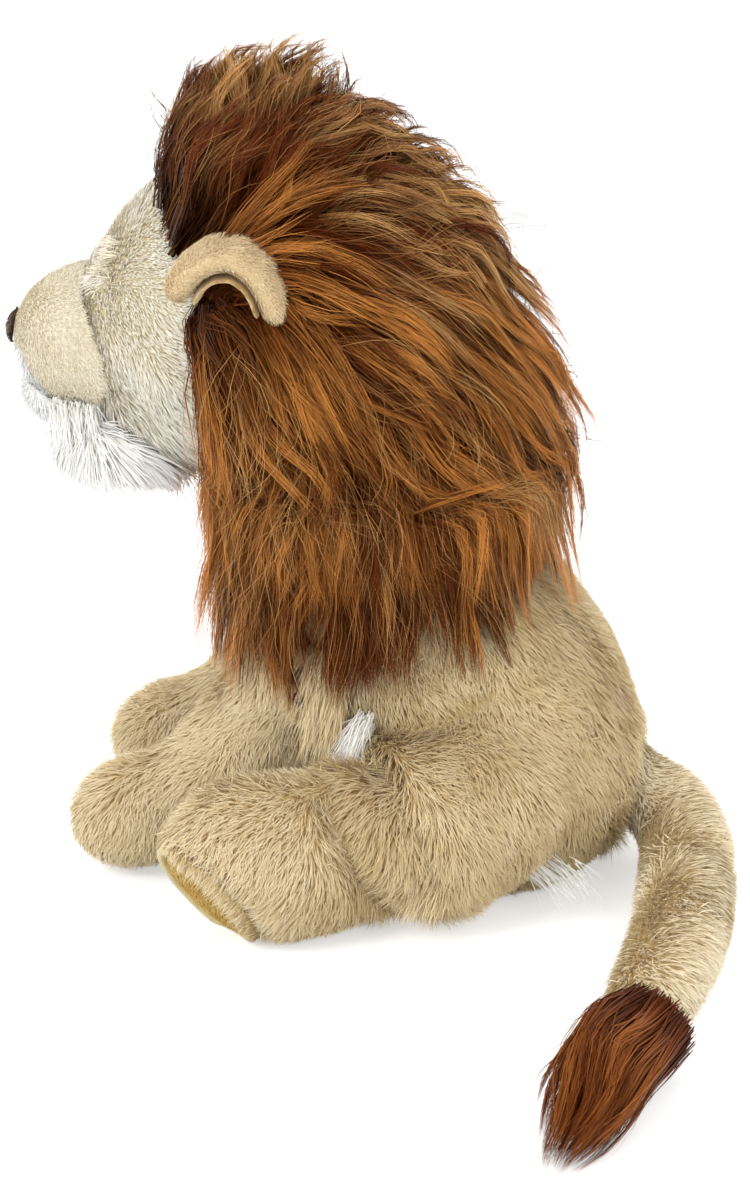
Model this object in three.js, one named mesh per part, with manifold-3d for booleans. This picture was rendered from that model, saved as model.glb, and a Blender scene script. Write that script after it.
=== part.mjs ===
// A sitting plush lion with a long pile mane, millimetres, +Z up.
// It faces -Y, its left side is +X, and the origin is the middle of the flat it sits on.
import * as THREE from 'three';
import { mergeVertices } from 'three/addons/utils/BufferGeometryUtils.js';
import Module from 'manifold-3d';

const wasm = await Module();
wasm.setup();

// Clearances and cloth
const seamGap = 0.3; // between two pieces that touch
const sweepGap = 1.8; // round a limb's whole travel
const clothThick = 5; // backing cloth with its pile
const flatDepth = 0.5; // how deep the resting flats are cut
const overrun = 150; // reach of a cutting solid past what it cuts

// How far each sewn joint bends, degrees
const headNodReach = 12;
const armLift = 30;
const armDrop = 8;
const legLift = 15;
const legDrop = 12;
const earFold = 12;
const tailSwingBack = 60;
const tailSwingFront = 12;

// Torso: level slices from the seat to the shoulders
const torso = {
  height: 158,
  halfWidth: 66,
  halfDepth: 66,
  lean: 92,
  squareShare: 0.9, // under 1 makes a slice squarer than an oval
  heightShares: [0, 0.06, 0.17, 0.3, 0.43, 0.56, 0.69, 0.82, 0.93, 1],
  widthShares: [0.72, 0.9, 1, 1, 0.97, 0.94, 0.9, 0.84, 0.76, 0.5],
  depthShares: [0.66, 0.8, 0.91, 0.98, 1, 0.98, 0.92, 0.84, 0.74, 0.45],
  leanShares: [0.01, 0.01, 0.01, 0, -0.05, -0.13, -0.245, -0.37, -0.46, -0.5],
};

// Thighs: the torso's own bulges beside the seat
const thigh = { out: 52, back: -5, up: 44, halfWidth: 42, halfDepth: 48, halfHeight: 42.5 };

// Filling of the torso: the seat, and the chest that meets the neck
const seatFill = { back: -4, up: 47, halfWidth: 44, halfDepth: 34, halfHeight: 37 };
const chestFill = { back: -26, up: 98, halfWidth: 32, halfDepth: 27, halfHeight: 43 };

// Belly: the white panel down the front
const belly = { halfWidth: 44, wrap: 32, low: 22, high: 110, thick: 4 };

// Pellet bag: fills the bottom of the torso as ballast
const pelletTop = 32;

// Front leg: from the shoulder ball down to the paw
const arm = {
  out: 37, shoulderBack: -66, shoulderUp: 88, ball: 25, forward: 67, halfWidth: 22, halfHeight: 25.5,
  forwardShares: [0, 0.26, 0.62, 1, 1.34],
  dropShares: [0, 0.46, 0.88, 1.03, 1.05],
  widthShares: [0.9, 0.95, 0.93, 1, 0.9],
  heightShares: [0.88, 1, 0.96, 1, 0.86],
};

// Hind leg: from the hip ball out to the sole, which leans forward
const leg = {
  hipOut: 66, hipBack: -18, hipUp: 38, ball: 27, spread: 29, forward: 90, halfWidth: 27, halfHeight: 36,
  forwardShares: [0, 0.3, 0.62, 0.9, 1.02],
  spreadShares: [0, 0.56, 0.93, 1, 1],
  riseShares: [0, 0, -0.02, 0.03, 0.08],
  widthShares: [0.8, 0.92, 1, 1, 0.95],
  heightShares: [0.68, 0.94, 1, 0.98, 0.9],
  soleTilt: 33, soleTurn: 50, soleForward: -89, soleUp: 20, // tilt down and turn outwards, degrees
};
const solePad = { halfWidth: 19, halfLength: 24, thick: 3.5 };

// Tail: lies on the same surface as the seat and curls round to the left
const tail = {
  rootBack: 54, ball: 20.5, radius: 20.5, reachSide: 167, reachBack: 30,
  sideShares: [0, 0.02, 0.12, 0.36, 0.6, 0.8, 1],
  backShares: [0, 0.42, 0.86, 1, 1, 0.84, 0.58],
  riseShares: [1.7, 1.48, 1.14, 1, 1, 0.95, 0.88],
  radiusShares: [0.94, 0.97, 1, 1.01, 1, 0.93, 0.86],
};
const tuft = {
  reachSide: 76, reachFront: 20, halfWidth: 17.5, halfHeight: 16.5,
  sideShares: [-0.09, 0.2, 0.48, 0.76, 1],
  frontShares: [-0.2, 0.2, 0.42, 0.66, 1],
  riseShares: [1, 1, 0.95, 0.8, 0.5],
  widthShares: [0.8, 1, 1.05, 0.75, 0.3],
};

// Head: skull, cheeks and the stub of neck under them, with the pivot of its motions
const pivot = new THREE.Vector3(0, -72, 206);
const skull = { back: -90, up: 217, halfWidth: 58, halfDepth: 59, halfHeight: 58 };
const jaw = { back: -102, up: 187, halfWidth: 47, halfDepth: 42, halfHeight: 31 };
const neck = {
  ballRadius: 86, plugThick: 16, plugFoot: 1, plugRadius: 32, stubRadius: 28, turnGap: 0.8, spare: 3,
};
const muzzle = { back: -142, up: 202, halfWidth: 34, halfDepth: 35, halfHeight: 29 };
const chin = { back: -156, up: 183, halfWidth: 20, halfDepth: 17.5, halfHeight: 15 };
const nose = { back: -170, up: 204, halfWidth: 13, halfDepth: 9.5, halfHeight: 9 };
const beard = { back: -128, up: 166, halfWidth: 37, halfDepth: 36, halfHeight: 16 };

// Eyes: a domed button, its shank and the washer that holds it inside
const eye = { out: 19, up: 238, radius: 6, dome: 3.2, sink: 4.4, shankRadius: 1.8, shank: 11, shankGap: 0.3 };
const washer = { radius: 6, thick: 1.4, gap: 0.4 };

// Ear: a padded arch that stands out from the side of the head
const ear = {
  frontBack: -101, hingeUp: 236, out: 63, length: 38, rise: 19, halfWidth: 17, halfThick: 5.6, lining: 1.8,
  lengthShares: [0, 0.06, 0.28, 0.56, 0.82, 1],
  riseShares: [0.05, 0.45, 0.88, 1, 0.62, -0.3],
};

// Mane: a hood round the head, a crest over the brow and a cape on the shoulders
const hood = {
  back: -66, up: 206, halfWidth: 80, halfDepth: 79, halfHeight: 84.5,
  faceBack: -92, faceUp: 222, faceTilt: 32, // where the face begins, and the lean of the mane over the brow
};
const crest = { back: -83, up: 270, halfWidth: 50, halfDepth: 38, halfHeight: 38 };
const cape = {
  high: 190, halfWidth: 80, halfDepth: 66, lean: 44, hemLow: 90, hemHigh: 118, hemFront: -40, hemBack: 30,
  heightShares: [0, 0.15, 0.4, 0.65, 0.9, 1],
  widthShares: [0.9, 0.95, 0.98, 1, 1, 1],
  depthShares: [0.88, 0.96, 1, 0.99, 0.96, 0.92],
  leanShares: [-1, -0.92, -0.84, -0.84, -0.86, -0.86],
};

// Colours, roughness
const tan = { color: 0xdcc9a2, roughness: 0.95 };
const cream = { color: 0xece0c6, roughness: 0.95 };
const velvet = { color: 0xe6d6b6, roughness: 0.85 };
const white = { color: 0xf4f2ea, roughness: 0.95 };
const brown = { color: 0x6a3517, roughness: 0.7 };
const noseBrown = { color: 0x55392a, roughness: 0.8 };
const gold = { color: 0xb08a3c, roughness: 0.8 };
const fill = { color: 0xf2f2f0, roughness: 1 };
const linen = { color: 0xd8d0c0, roughness: 0.9 };
const glass = { color: 0x2a1608, roughness: 0.1 };
const plastic = { color: 0xe8e4da, roughness: 0.5 };

const fine = { ring: 16, belt: 10 }; // steps round and along a form that shows
const plain = { ring: 10, belt: 7 }; // the same for what lies inside
const trunkMesh = { ring: 11, belt: 9 };
const bulgeMesh = { ring: 14, belt: 8 };
const tailMesh = { ring: 12, belt: 14 };
const ballMesh = { ring: 20, belt: 10 }; // the mane's ball and the bowl that it turns in
const jointMesh = { ring: 12, belt: 6 }; // the balls and sockets at the limbs' roots
const earMesh = { ring: 12, belt: 10 };
const earSweepMesh = { ring: 10, belt: 8 };
const sweepMesh = { ring: 12, belt: 9 }; // a limb's travel
const arcSteps = 4;
const sweepStep = 13; // degrees between the copies of a form that turns
const across = new THREE.Vector3(1, 0, 0);
const upward = new THREE.Vector3(0, 0, 1);
const facing = new THREE.Vector3(0, -1, 0);

// A closed mesh as a solid that can be joined and cut
function solid(geometry) {
  geometry.deleteAttribute('normal');
  geometry.deleteAttribute('uv');
  const merged = mergeVertices(geometry);
  return new wasm.Manifold(new wasm.Mesh({
    numProp: 3,
    vertProperties: Float32Array.from(merged.attributes.position.array),
    triVerts: Uint32Array.from(merged.index.array),
  }));
}

// Rings of points joined into a closed skin, with a pole at each end
function joinRings(rings, startPole, endPole) {
  const sides = rings[0].length;
  const points = [startPole, ...rings.flat(), endPole];
  const last = points.length - 1;
  const faces = [];
  for (let s = 0; s < sides; s++) {
    const next = (s + 1) % sides;
    faces.push(0, 1 + next, 1 + s);
    for (let r = 0; r + 1 < rings.length; r++) {
      const a = 1 + r * sides + s;
      const b = 1 + r * sides + next;
      faces.push(a, b, b + sides, a, b + sides, a + sides);
    }
    const top = 1 + (rings.length - 1) * sides;
    faces.push(top + s, top + next, last);
  }
  const geometry = new THREE.BufferGeometry();
  geometry.setAttribute('position', new THREE.Float32BufferAttribute(points.flatMap((p) => p.toArray()), 3));
  geometry.setIndex(faces);
  return geometry;
}

// Values set at even steps, read smoothly between them
function smooth(values) {
  const last = values.length - 1;
  const curve = new THREE.CatmullRomCurve3(values.map((v, i) => new THREE.Vector3(i / last, v, 0)));
  return (t) => curve.getPoint(t).y;
}

// A stuffed limb: oval rings along a smooth path, round at both ends.
// wide is the half size along the side direction, tall the half size across it.
function limb({ path, wide, tall, side, grow = 0, mesh = fine }) {
  const steps = mesh.belt;
  const sides = mesh.ring;
  const curve = new THREE.CatmullRomCurve3(path, false, 'centripetal');
  const length = curve.getLength() + 2 * grow;
  const wideAt = smooth(wide);
  const tallAt = smooth(tall);
  const startCap = tall[0] + grow;
  const endCap = tall[tall.length - 1] + grow;
  const place = (t) => {
    const along = THREE.MathUtils.clamp((t * length - grow) / (length - 2 * grow), 0, 1);
    const point = curve.getPointAt(along);
    const tangent = curve.getTangentAt(along);
    const over = t * length - grow - along * (length - 2 * grow);
    return { point: point.addScaledVector(tangent, over), tangent, along };
  };
  const rings = [];
  for (let i = 1; i < steps; i++) {
    const t = (1 - Math.cos(Math.PI * i / steps)) / 2;
    const { point, tangent, along } = place(t);
    const flank = side ? side.clone().addScaledVector(tangent, -side.dot(tangent)).normalize()
      : new THREE.Vector3().crossVectors(upward, tangent).normalize();
    const rise = new THREE.Vector3().crossVectors(tangent, flank);
    const fromStart = 1 - Math.min(1, t * length / startCap);
    const fromEnd = 1 - Math.min(1, (1 - t) * length / endCap);
    const round = Math.sqrt((1 - fromStart ** 2) * (1 - fromEnd ** 2));
    const ring = [];
    for (let s = 0; s < sides; s++) {
      const turn = 2 * Math.PI * s / sides;
      ring.push(point.clone()
        .addScaledVector(flank, (wideAt(along) + grow) * round * Math.cos(turn))
        .addScaledVector(rise, (tallAt(along) + grow) * round * Math.sin(turn)));
    }
    rings.push(ring);
  }
  return solid(joinRings(rings, place(0).point, place(1).point));
}

// Level slices stacked from bottom to top, squarer than ovals, flat at both ends
function stack({ heights, widths, depths, middles, square, grow = 0, mesh = fine }) {
  const steps = mesh.belt;
  const sides = 2 * mesh.ring;
  const [heightAt, widthAt, depthAt, middleAt] = [heights, widths, depths, middles].map(smooth);
  const rings = [];
  for (let i = 0; i <= steps; i++) {
    const t = i / steps;
    const over = i === 0 ? -grow : i === steps ? grow : 0;
    const ring = [];
    for (let s = 0; s < sides; s++) {
      const turn = 2 * Math.PI * s / sides;
      const c = Math.cos(turn);
      const d = Math.sin(turn);
      ring.push(new THREE.Vector3(
        (widthAt(t) + grow) * Math.sign(c) * Math.abs(c) ** square,
        middleAt(t) + (depthAt(t) + grow) * Math.sign(d) * Math.abs(d) ** square,
        heightAt(t) + over,
      ));
    }
    rings.push(ring);
  }
  const bottom = new THREE.Vector3(0, middleAt(0), heightAt(0) - grow);
  const top = new THREE.Vector3(0, middleAt(1), heightAt(1) + grow);
  return solid(joinRings(rings, bottom, top));
}

// A swollen oval form with its middle at a point
function oval(middle, halfWidth, halfDepth, halfHeight, grow = 0, mesh = fine, turn = 0) {
  const geometry = new THREE.SphereGeometry(1, mesh.ring, mesh.belt);
  geometry.rotateX(Math.PI / 2);
  geometry.rotateZ(turn);
  geometry.scale(halfWidth + grow, halfDepth + grow, halfHeight + grow);
  geometry.translate(middle.x, middle.y, middle.z);
  return solid(geometry);
}

const ovalOf = (form, grow = 0, out = 0, mesh = fine) => oval(
  new THREE.Vector3(out, form.back, form.up), form.halfWidth, form.halfDepth, form.halfHeight, grow, mesh);

const ball = (middle, radius, mesh = fine) => oval(middle, radius, radius, radius, 0, mesh);

// A socket's faces are set against the corners of the faceted ball that it holds. They lie inside its
// radius, so it is drawn larger until their middles clear the ball by the seam's gap.
function socket(middle, radius, mesh) {
  const cut = { ring: mesh.ring, belt: mesh.belt + 1 };
  const turn = Math.PI / cut.ring;
  const reach = (radius + seamGap) / (Math.cos(turn) * Math.cos(Math.PI / (2 * cut.belt)));
  return oval(middle, reach, reach, reach, 0, cut, turn);
}

// Everything on one side of a plane: the side that its normal points to
function halfSpace(point, normal) {
  const geometry = new THREE.BoxGeometry(4 * overrun, 4 * overrun, 2 * overrun);
  geometry.translate(0, 0, overrun);
  geometry.applyQuaternion(new THREE.Quaternion().setFromUnitVectors(upward, normal));
  geometry.translate(point.x, point.y, point.z);
  return solid(geometry);
}

// A turned form about a vertical axis, from a profile of [radius, height] that closes on the axis
function turned(profile, middle) {
  const geometry = new THREE.LatheGeometry(profile.map(([r, z]) => new THREE.Vector2(r, z)), fine.ring);
  geometry.rotateX(Math.PI / 2);
  geometry.translate(middle.x, middle.y, middle.z);
  return solid(geometry);
}

// The space that a form passes through as it turns about a pivot
function swept(makeForm, origin, axis, from, to) {
  const steps = Math.ceil((to - from) / sweepStep);
  let space = null;
  for (let i = 0; i <= steps; i++) {
    const angle = THREE.MathUtils.degToRad(from + (to - from) * i / steps);
    const geometry = shape(makeForm());
    geometry.translate(-origin.x, -origin.y, -origin.z);
    geometry.applyQuaternion(new THREE.Quaternion().setFromAxisAngle(axis, angle));
    geometry.translate(origin.x, origin.y, origin.z);
    const copy = solid(geometry);
    space = space ? space.add(copy) : copy;
  }
  return space;
}

// A solid's mesh again
function shape(body) {
  const mesh = body.getMesh();
  const geometry = new THREE.BufferGeometry();
  const points = [];
  for (let v = 0; v < mesh.numVert; v++) {
    for (let k = 0; k < 3; k++) points.push(mesh.vertProperties[v * mesh.numProp + k]);
  }
  geometry.setAttribute('position', new THREE.Float32BufferAttribute(points, 3));
  geometry.setIndex(Array.from(mesh.triVerts));
  return geometry;
}

const lion = new THREE.Group();

function piece(name, body, finish) {
  const geometry = shape(body);
  geometry.computeVertexNormals();
  const mesh = new THREE.Mesh(geometry, new THREE.MeshStandardMaterial({ ...finish, metalness: 0 }));
  mesh.name = name;
  lion.add(mesh);
}

const sideOf = { left: 1, right: -1 };
const underFloor = halfSpace(new THREE.Vector3(0, 0, 0), upward.clone().negate());

// Torso form: the trunk, and the same with its thighs
function trunkForm(grow = 0) {
  const { height, halfWidth, halfDepth, lean } = torso;
  return stack({
    heights: torso.heightShares.map((s) => s * height - flatDepth),
    widths: torso.widthShares.map((s) => s * halfWidth),
    depths: torso.depthShares.map((s) => s * halfDepth),
    middles: torso.leanShares.map((s) => s * lean),
    square: torso.squareShare, grow, mesh: trunkMesh,
  });
}

const torsoForm = (grow = 0) => trunkForm(grow)
  .add(ovalOf(thigh, grow, thigh.out, bulgeMesh)).add(ovalOf(thigh, grow, -thigh.out, bulgeMesh));

// Front leg
const shoulder = (side) => new THREE.Vector3(side * arm.out, arm.shoulderBack, arm.shoulderUp);

function armReach(side, grow = 0, mesh = fine) {
  const drop = arm.shoulderUp - arm.halfHeight + flatDepth;
  return limb({
    path: arm.forwardShares.map((s, i) => new THREE.Vector3(
      side * arm.out, arm.shoulderBack - s * arm.forward, arm.shoulderUp - arm.dropShares[i] * drop)),
    wide: arm.widthShares.map((s) => s * arm.halfWidth),
    tall: arm.heightShares.map((s) => s * arm.halfHeight),
    side: across, grow, mesh,
  });
}

const armForm = (side) => armReach(side).add(ball(shoulder(side), arm.ball, jointMesh));

function armSpace(side) {
  const travel = swept(() => armReach(side, sweepGap, sweepMesh), shoulder(side), across, -armLift, armDrop);
  return travel.add(socket(shoulder(side), arm.ball, jointMesh));
}

// Hind leg
const hip = (side) => new THREE.Vector3(side * leg.hipOut, leg.hipBack, leg.hipUp);

function legReach(side, grow = 0, mesh = fine) {
  return limb({
    path: leg.forwardShares.map((s, i) => new THREE.Vector3(
      side * (leg.hipOut + leg.spreadShares[i] * leg.spread),
      leg.hipBack - s * leg.forward,
      leg.halfHeight - flatDepth + leg.riseShares[i] * leg.halfHeight)),
    wide: leg.widthShares.map((s) => s * leg.halfWidth),
    tall: leg.heightShares.map((s) => s * leg.halfHeight),
    side: across, grow, mesh,
  });
}

const legForm = (side) => legReach(side).add(ball(hip(side), leg.ball, jointMesh));

function legSpace(side) {
  const travel = swept(() => legReach(side, sweepGap, sweepMesh), hip(side), across, -legLift, legDrop);
  return travel.add(socket(hip(side), leg.ball, jointMesh));
}

// Tail
const tailRise = tail.radius - flatDepth;
const tailRoot = new THREE.Vector3(0, tail.rootBack, tail.riseShares[0] * tailRise);

const tailPath = tail.sideShares.map((s, i) => new THREE.Vector3(
  s * tail.reachSide, tail.rootBack + tail.backShares[i] * tail.reachBack, tail.riseShares[i] * tailRise));

const tailReach = (grow = 0, mesh = tailMesh) => limb({
  path: tailPath,
  wide: tail.radiusShares.map((s) => s * tail.radius),
  tall: tail.radiusShares.map((s) => s * tail.radius),
  grow, mesh,
});

const tailForm = (grow = 0) => tailReach(grow).add(ball(tailRoot, tail.ball + grow, jointMesh));

const tailSpace = swept(() => tailReach(sweepGap), tailRoot, upward, -tailSwingFront, tailSwingBack)
  .add(socket(tailRoot, tail.ball, jointMesh));

// Head form, with its cheeks and the stub of neck, which ends on a ball about the pivot
const plugReach = neck.ballRadius - neck.plugThick;
const stubReach = plugReach - neck.turnGap;

// A stretch of a turned profile on a ball about the pivot, from the axis below it out to a radius
function arc(radius, outTo) {
  return Array.from({ length: arcSteps + 1 }, (_, i) => {
    const angle = Math.asin(outTo / radius) * i / arcSteps;
    return [radius * Math.sin(angle), -radius * Math.cos(angle)];
  });
}

function headForm(grow = 0) {
  const stubRadius = neck.stubRadius + grow;
  const stub = turned([...arc(stubReach + grow, stubRadius), [stubRadius, 0], [0, 0]], pivot);
  return ovalOf(skull, grow).add(ovalOf(jaw, grow)).add(stub);
}

// Torso, cut by the mane's ball above and by the space of each limb
const bowl = socket(pivot, neck.ballRadius, ballMesh);

let limbSpaces = tailSpace;
for (const side of Object.values(sideOf)) limbSpaces = limbSpaces.add(armSpace(side)).add(legSpace(side));

const bellyBlock = (grow) => {
  const tall = belly.high - belly.low + 2 * grow;
  const geometry = new THREE.BoxGeometry(2 * (belly.halfWidth + grow), overrun, tall);
  geometry.translate(0, -overrun / 2 - belly.wrap + grow, (belly.high + belly.low) / 2);
  return solid(geometry);
};

// The filling is two plain ovals that stay clear of every socket, open upwards at the neck
const fillForm = (gap) => ovalOf(seatFill, -gap, 0, plain).add(ovalOf(chestFill, -gap, 0, plain));

const torsoOuter = torsoForm().subtract(underFloor).subtract(bowl).subtract(limbSpaces);
piece('torso_skin', torsoOuter.subtract(bellyBlock(seamGap).subtract(torsoForm(-belly.thick - seamGap)))
  .subtract(fillForm(0)), tan);
piece('belly_panel', torsoOuter.intersect(bellyBlock(0)).subtract(torsoForm(-belly.thick)), white);
const abovePellets = (gap) => halfSpace(new THREE.Vector3(0, 0, pelletTop + gap), upward);
piece('pellet_bag', fillForm(seamGap).subtract(abovePellets(0)), linen);
piece('torso_stuffing', fillForm(seamGap).subtract(bowl).intersect(abovePellets(seamGap)), fill);

// A limb's cloth is open where it is sewn on, towards the middle of the toy, and its stuffing fills it
function stuffed(name, outer, inner, root, inward, radius, finish) {
  const opening = ball(root.clone().addScaledVector(inward, radius / 2), radius / 2 + 2 * clothThick, plain);
  piece(name, outer.subtract(inner(0)).subtract(opening), finish);
  piece(`${name}_stuffing`, inner(seamGap), fill);
}

// Front legs
for (const [word, side] of Object.entries(sideOf)) {
  const inner = (gap) => armReach(side, -clothThick - gap, plain);
  const outer = armForm(side).subtract(underFloor);
  stuffed(`${word}_front_leg`, outer, inner, shoulder(side), facing.clone().negate(), arm.ball, tan);
}

// Hind legs, each cut by its sole and fitted with a pad
const soleLean = facing.clone().applyAxisAngle(across, THREE.MathUtils.degToRad(leg.soleTilt));
const soleTurn = (side) => side * THREE.MathUtils.degToRad(leg.soleTurn);
const soleFacing = (side) => soleLean.clone().applyAxisAngle(upward, soleTurn(side));
const soleMiddle = (side) => new THREE.Vector3(side * (leg.hipOut + leg.spread), leg.soleForward, leg.soleUp);

function soleDisc(side, grow, depth) {
  const outline = new THREE.Shape();
  outline.absellipse(0, 0, solePad.halfWidth + grow, solePad.halfLength + grow, 0, 2 * Math.PI);
  const curveSegments = plain.belt;
  const geometry = new THREE.ExtrudeGeometry(outline, { depth, bevelEnabled: false, curveSegments });
  geometry.applyQuaternion(new THREE.Quaternion().setFromUnitVectors(upward, soleLean));
  geometry.rotateZ(soleTurn(side));
  const base = soleMiddle(side).addScaledVector(soleFacing(side), -solePad.thick - grow);
  geometry.translate(base.x, base.y, base.z);
  return solid(geometry);
}

for (const [word, side] of Object.entries(sideOf)) {
  const beyondSole = (gap) => halfSpace(soleMiddle(side).addScaledVector(soleFacing(side), gap), soleFacing(side));
  const padBed = soleDisc(side, seamGap, overrun);
  const inner = (gap) => legReach(side, -clothThick - gap, plain)
    .subtract(beyondSole(-clothThick - solePad.thick - gap));
  const outer = legForm(side).subtract(underFloor).subtract(beyondSole(0)).subtract(padBed);
  stuffed(`${word}_hind_leg`, outer, inner, hip(side), facing.clone().negate(), leg.ball, tan);
  piece(`${word}_sole_pad`, soleDisc(side, 0, solePad.thick).subtract(underFloor), gold);
}

// Tail, ending in a tuft of long hair
const tailOuter = tailForm().subtract(underFloor);
const tailInner = (gap) => tailReach(-clothThick - gap, { ...plain, belt: tailMesh.belt });
stuffed('tail', tailOuter, tailInner, tailRoot, facing, tail.ball, tan);
const tailEnd = tailPath[tailPath.length - 1];
const tuftForm = limb({
  path: tuft.sideShares.map((s, i) => new THREE.Vector3(
    tailEnd.x + s * tuft.reachSide, tailEnd.y - tuft.frontShares[i] * tuft.reachFront,
    tuft.riseShares[i] * (tuft.halfHeight - flatDepth))),
  wide: tuft.widthShares.map((s) => s * tuft.halfWidth),
  tall: tuft.widthShares.map((s) => s * tuft.halfHeight),
});
piece('tail_tuft', tuftForm.subtract(tailForm(seamGap)).subtract(underFloor), brown);

// Neck: a short plug of stuffing that turns in the torso's bowl and carries the head's stub
const plugProfile = [
  ...arc(neck.ballRadius + neck.plugFoot, neck.plugRadius),
  ...arc(plugReach, neck.plugRadius).reverse(),
];
piece('neck_stuffing', turned(plugProfile, pivot), fill);

// Room for the plug as the head nods over it
const nodRoom = Math.asin(neck.plugRadius / plugReach) + THREE.MathUtils.degToRad(headNodReach + neck.spare);
const stubRoom = neck.stubRadius + seamGap;
const plugRoom = turned([
  [0, -overrun],
  [overrun * Math.tan(nodRoom), -overrun],
  [stubRoom, -stubRoom / Math.tan(nodRoom)],
  [stubRoom, 0],
  [0, 0],
], pivot);

// Head: a stuffed ball of cloth, open at the neck
const headFill = (gap, reach) => {
  const radius = neck.stubRadius - clothThick - gap;
  const funnel = turned([...arc(reach, radius), [radius, 0], [0, 0]], pivot);
  return ovalOf(skull, -clothThick - gap, 0, plain).add(funnel);
};

// A turned part whose axis runs out of the face at an eye, from a profile of [radius, reach]
function atEye(side, profile) {
  const sideways = side * eye.out / skull.halfWidth;
  const up = (eye.up - skull.up) / skull.halfHeight;
  const front = -Math.sqrt(1 - sideways ** 2 - up ** 2);
  const outward = new THREE.Vector3(
    sideways / skull.halfWidth, front / skull.halfDepth, up / skull.halfHeight).normalize();
  const geometry = new THREE.LatheGeometry(profile.map(([r, z]) => new THREE.Vector2(r, z)), fine.ring);
  geometry.rotateX(Math.PI / 2);
  geometry.applyQuaternion(new THREE.Quaternion().setFromUnitVectors(upward, outward));
  geometry.translate(side * eye.out, skull.back + front * skull.halfDepth, eye.up);
  return solid(geometry);
}

const rod = (radius, from, to) => [[0, from], [radius, from], [radius, to], [0, to]];
const domeRim = seamGap - eye.sink;
const dome = Array.from({ length: arcSteps }, (_, i) => {
  const angle = Math.PI / 2 * i / arcSteps;
  return [eye.radius * Math.cos(angle), domeRim + eye.dome * Math.sin(angle)];
});
const eyeProfile = [
  [0, -eye.shank],
  [eye.shankRadius, -eye.shank],
  [eye.shankRadius, domeRim],
  ...dome,
  [0, domeRim + eye.dome],
];
const shankBore = eye.shankRadius + eye.shankGap;
const washerBack = -eye.shank + eye.shankGap;
const washerFront = washerBack + washer.thick;
const washerProfile = [
  [shankBore, washerBack],
  [washer.radius, washerBack],
  [washer.radius, washerFront],
  [shankBore, washerFront],
  [shankBore, washerBack],
];
let headShell = headForm().subtract(headFill(0, neck.ballRadius));
let headCore = headFill(seamGap, stubReach);
for (const [word, side] of Object.entries(sideOf)) {
  piece(`${word}_eye`, atEye(side, eyeProfile), glass);
  piece(`${word}_eye_washer`, atEye(side, washerProfile), plastic);
  const bed = rod(eye.radius + eye.shankGap, -eye.sink, eye.dome + eye.sink);
  const bore = rod(shankBore, -eye.shank, eye.dome);
  const washerRoom = rod(washer.radius + washer.gap, -eye.shank - washer.gap, eye.dome);
  headShell = headShell.subtract(atEye(side, bore)).subtract(atEye(side, bed));
  headCore = headCore.subtract(atEye(side, washerRoom));
}
piece('head_skin', headShell, cream);
piece('head_stuffing', headCore, fill);

// Face: muzzle, chin, nose and the long white fur under the jaw
const muzzleRoom = ovalOf(muzzle, seamGap);
const chinRoom = ovalOf(chin, seamGap);
const headRoom = headForm(seamGap);
piece('muzzle', ovalOf(muzzle).subtract(headRoom), velvet);
piece('chin', ovalOf(chin).subtract(muzzleRoom).subtract(headRoom), white);
piece('nose', ovalOf(nose).subtract(muzzleRoom), noseBrown);
const beardRoom = headRoom.add(muzzleRoom).add(chinRoom).add(plugRoom.subtract(ball(pivot, stubReach)));
piece('beard', ovalOf(beard).subtract(beardRoom), white);

// Ears: padded arches, each folding on the line where it is sewn on, with a lining beneath
const earHinge = (side) => {
  const back01 = (ear.frontBack + ear.length / 2 - skull.back) / skull.halfDepth;
  const up01 = (ear.hingeUp - skull.up) / skull.halfHeight;
  const out = skull.halfWidth * Math.sqrt(1 - back01 ** 2 - up01 ** 2);
  return new THREE.Vector3(side * out, ear.frontBack + ear.length / 2, ear.hingeUp);
};

const earForm = (side, grow = 0, inset = 0, tall = ear.halfThick, mesh = earMesh) => limb({
  path: ear.lengthShares.map((s, i) => new THREE.Vector3(
    side * ear.out,
    ear.frontBack + inset + s * (ear.length - 2 * inset),
    ear.hingeUp + ear.riseShares[i] * (ear.rise - inset))),
  wide: ear.lengthShares.map(() => ear.halfWidth - inset / 3),
  tall: ear.lengthShares.map(() => tall),
  side: across, grow, mesh,
});

const earAxis = facing.clone().negate();
const liningInset = ear.halfThick + ear.lining;
let earSpaces = null;
for (const [word, side] of Object.entries(sideOf)) {
  const headTravel = swept(() => ovalOf(skull, seamGap), earHinge(side), earAxis, -earFold, earFold);
  piece(`${word}_ear`, earForm(side).subtract(headTravel), velvet);
  const lining = earForm(side, 0, liningInset, ear.lining).subtract(earForm(side, seamGap));
  piece(`${word}_ear_lining`, lining.subtract(headTravel), tan);
  const wholeThick = ear.halfThick + ear.lining + seamGap;
  const whole = () => earForm(side, sweepGap + ear.lining, ear.lining, wholeThick, earSweepMesh);
  const space = swept(whole, earHinge(side), earAxis, -earFold, earFold);
  earSpaces = earSpaces ? earSpaces.add(space) : space;
}

// Mane hood: the long hair on the head, inside the ball that turns in the cape
const faceEdge = new THREE.Vector3(0, hood.faceBack, hood.faceUp);
const faceLean = facing.clone().applyAxisAngle(across, THREE.MathUtils.degToRad(hood.faceTilt));
const faceSide = halfSpace(faceEdge, facing).intersect(halfSpace(faceEdge, upward.clone().negate()))
  .add(halfSpace(faceEdge, faceLean));
const hoodRoom = ovalOf(skull, seamGap).add(ovalOf(jaw, seamGap));
piece('mane_hood', ovalOf(hood, 0, 0, ballMesh).subtract(hoodRoom).subtract(plugRoom)
  .subtract(faceSide).subtract(earSpaces).subtract(ovalOf(crest, seamGap)), brown);
piece('mane_crest', ovalOf(crest).subtract(hoodRoom).subtract(earSpaces), brown);

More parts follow.
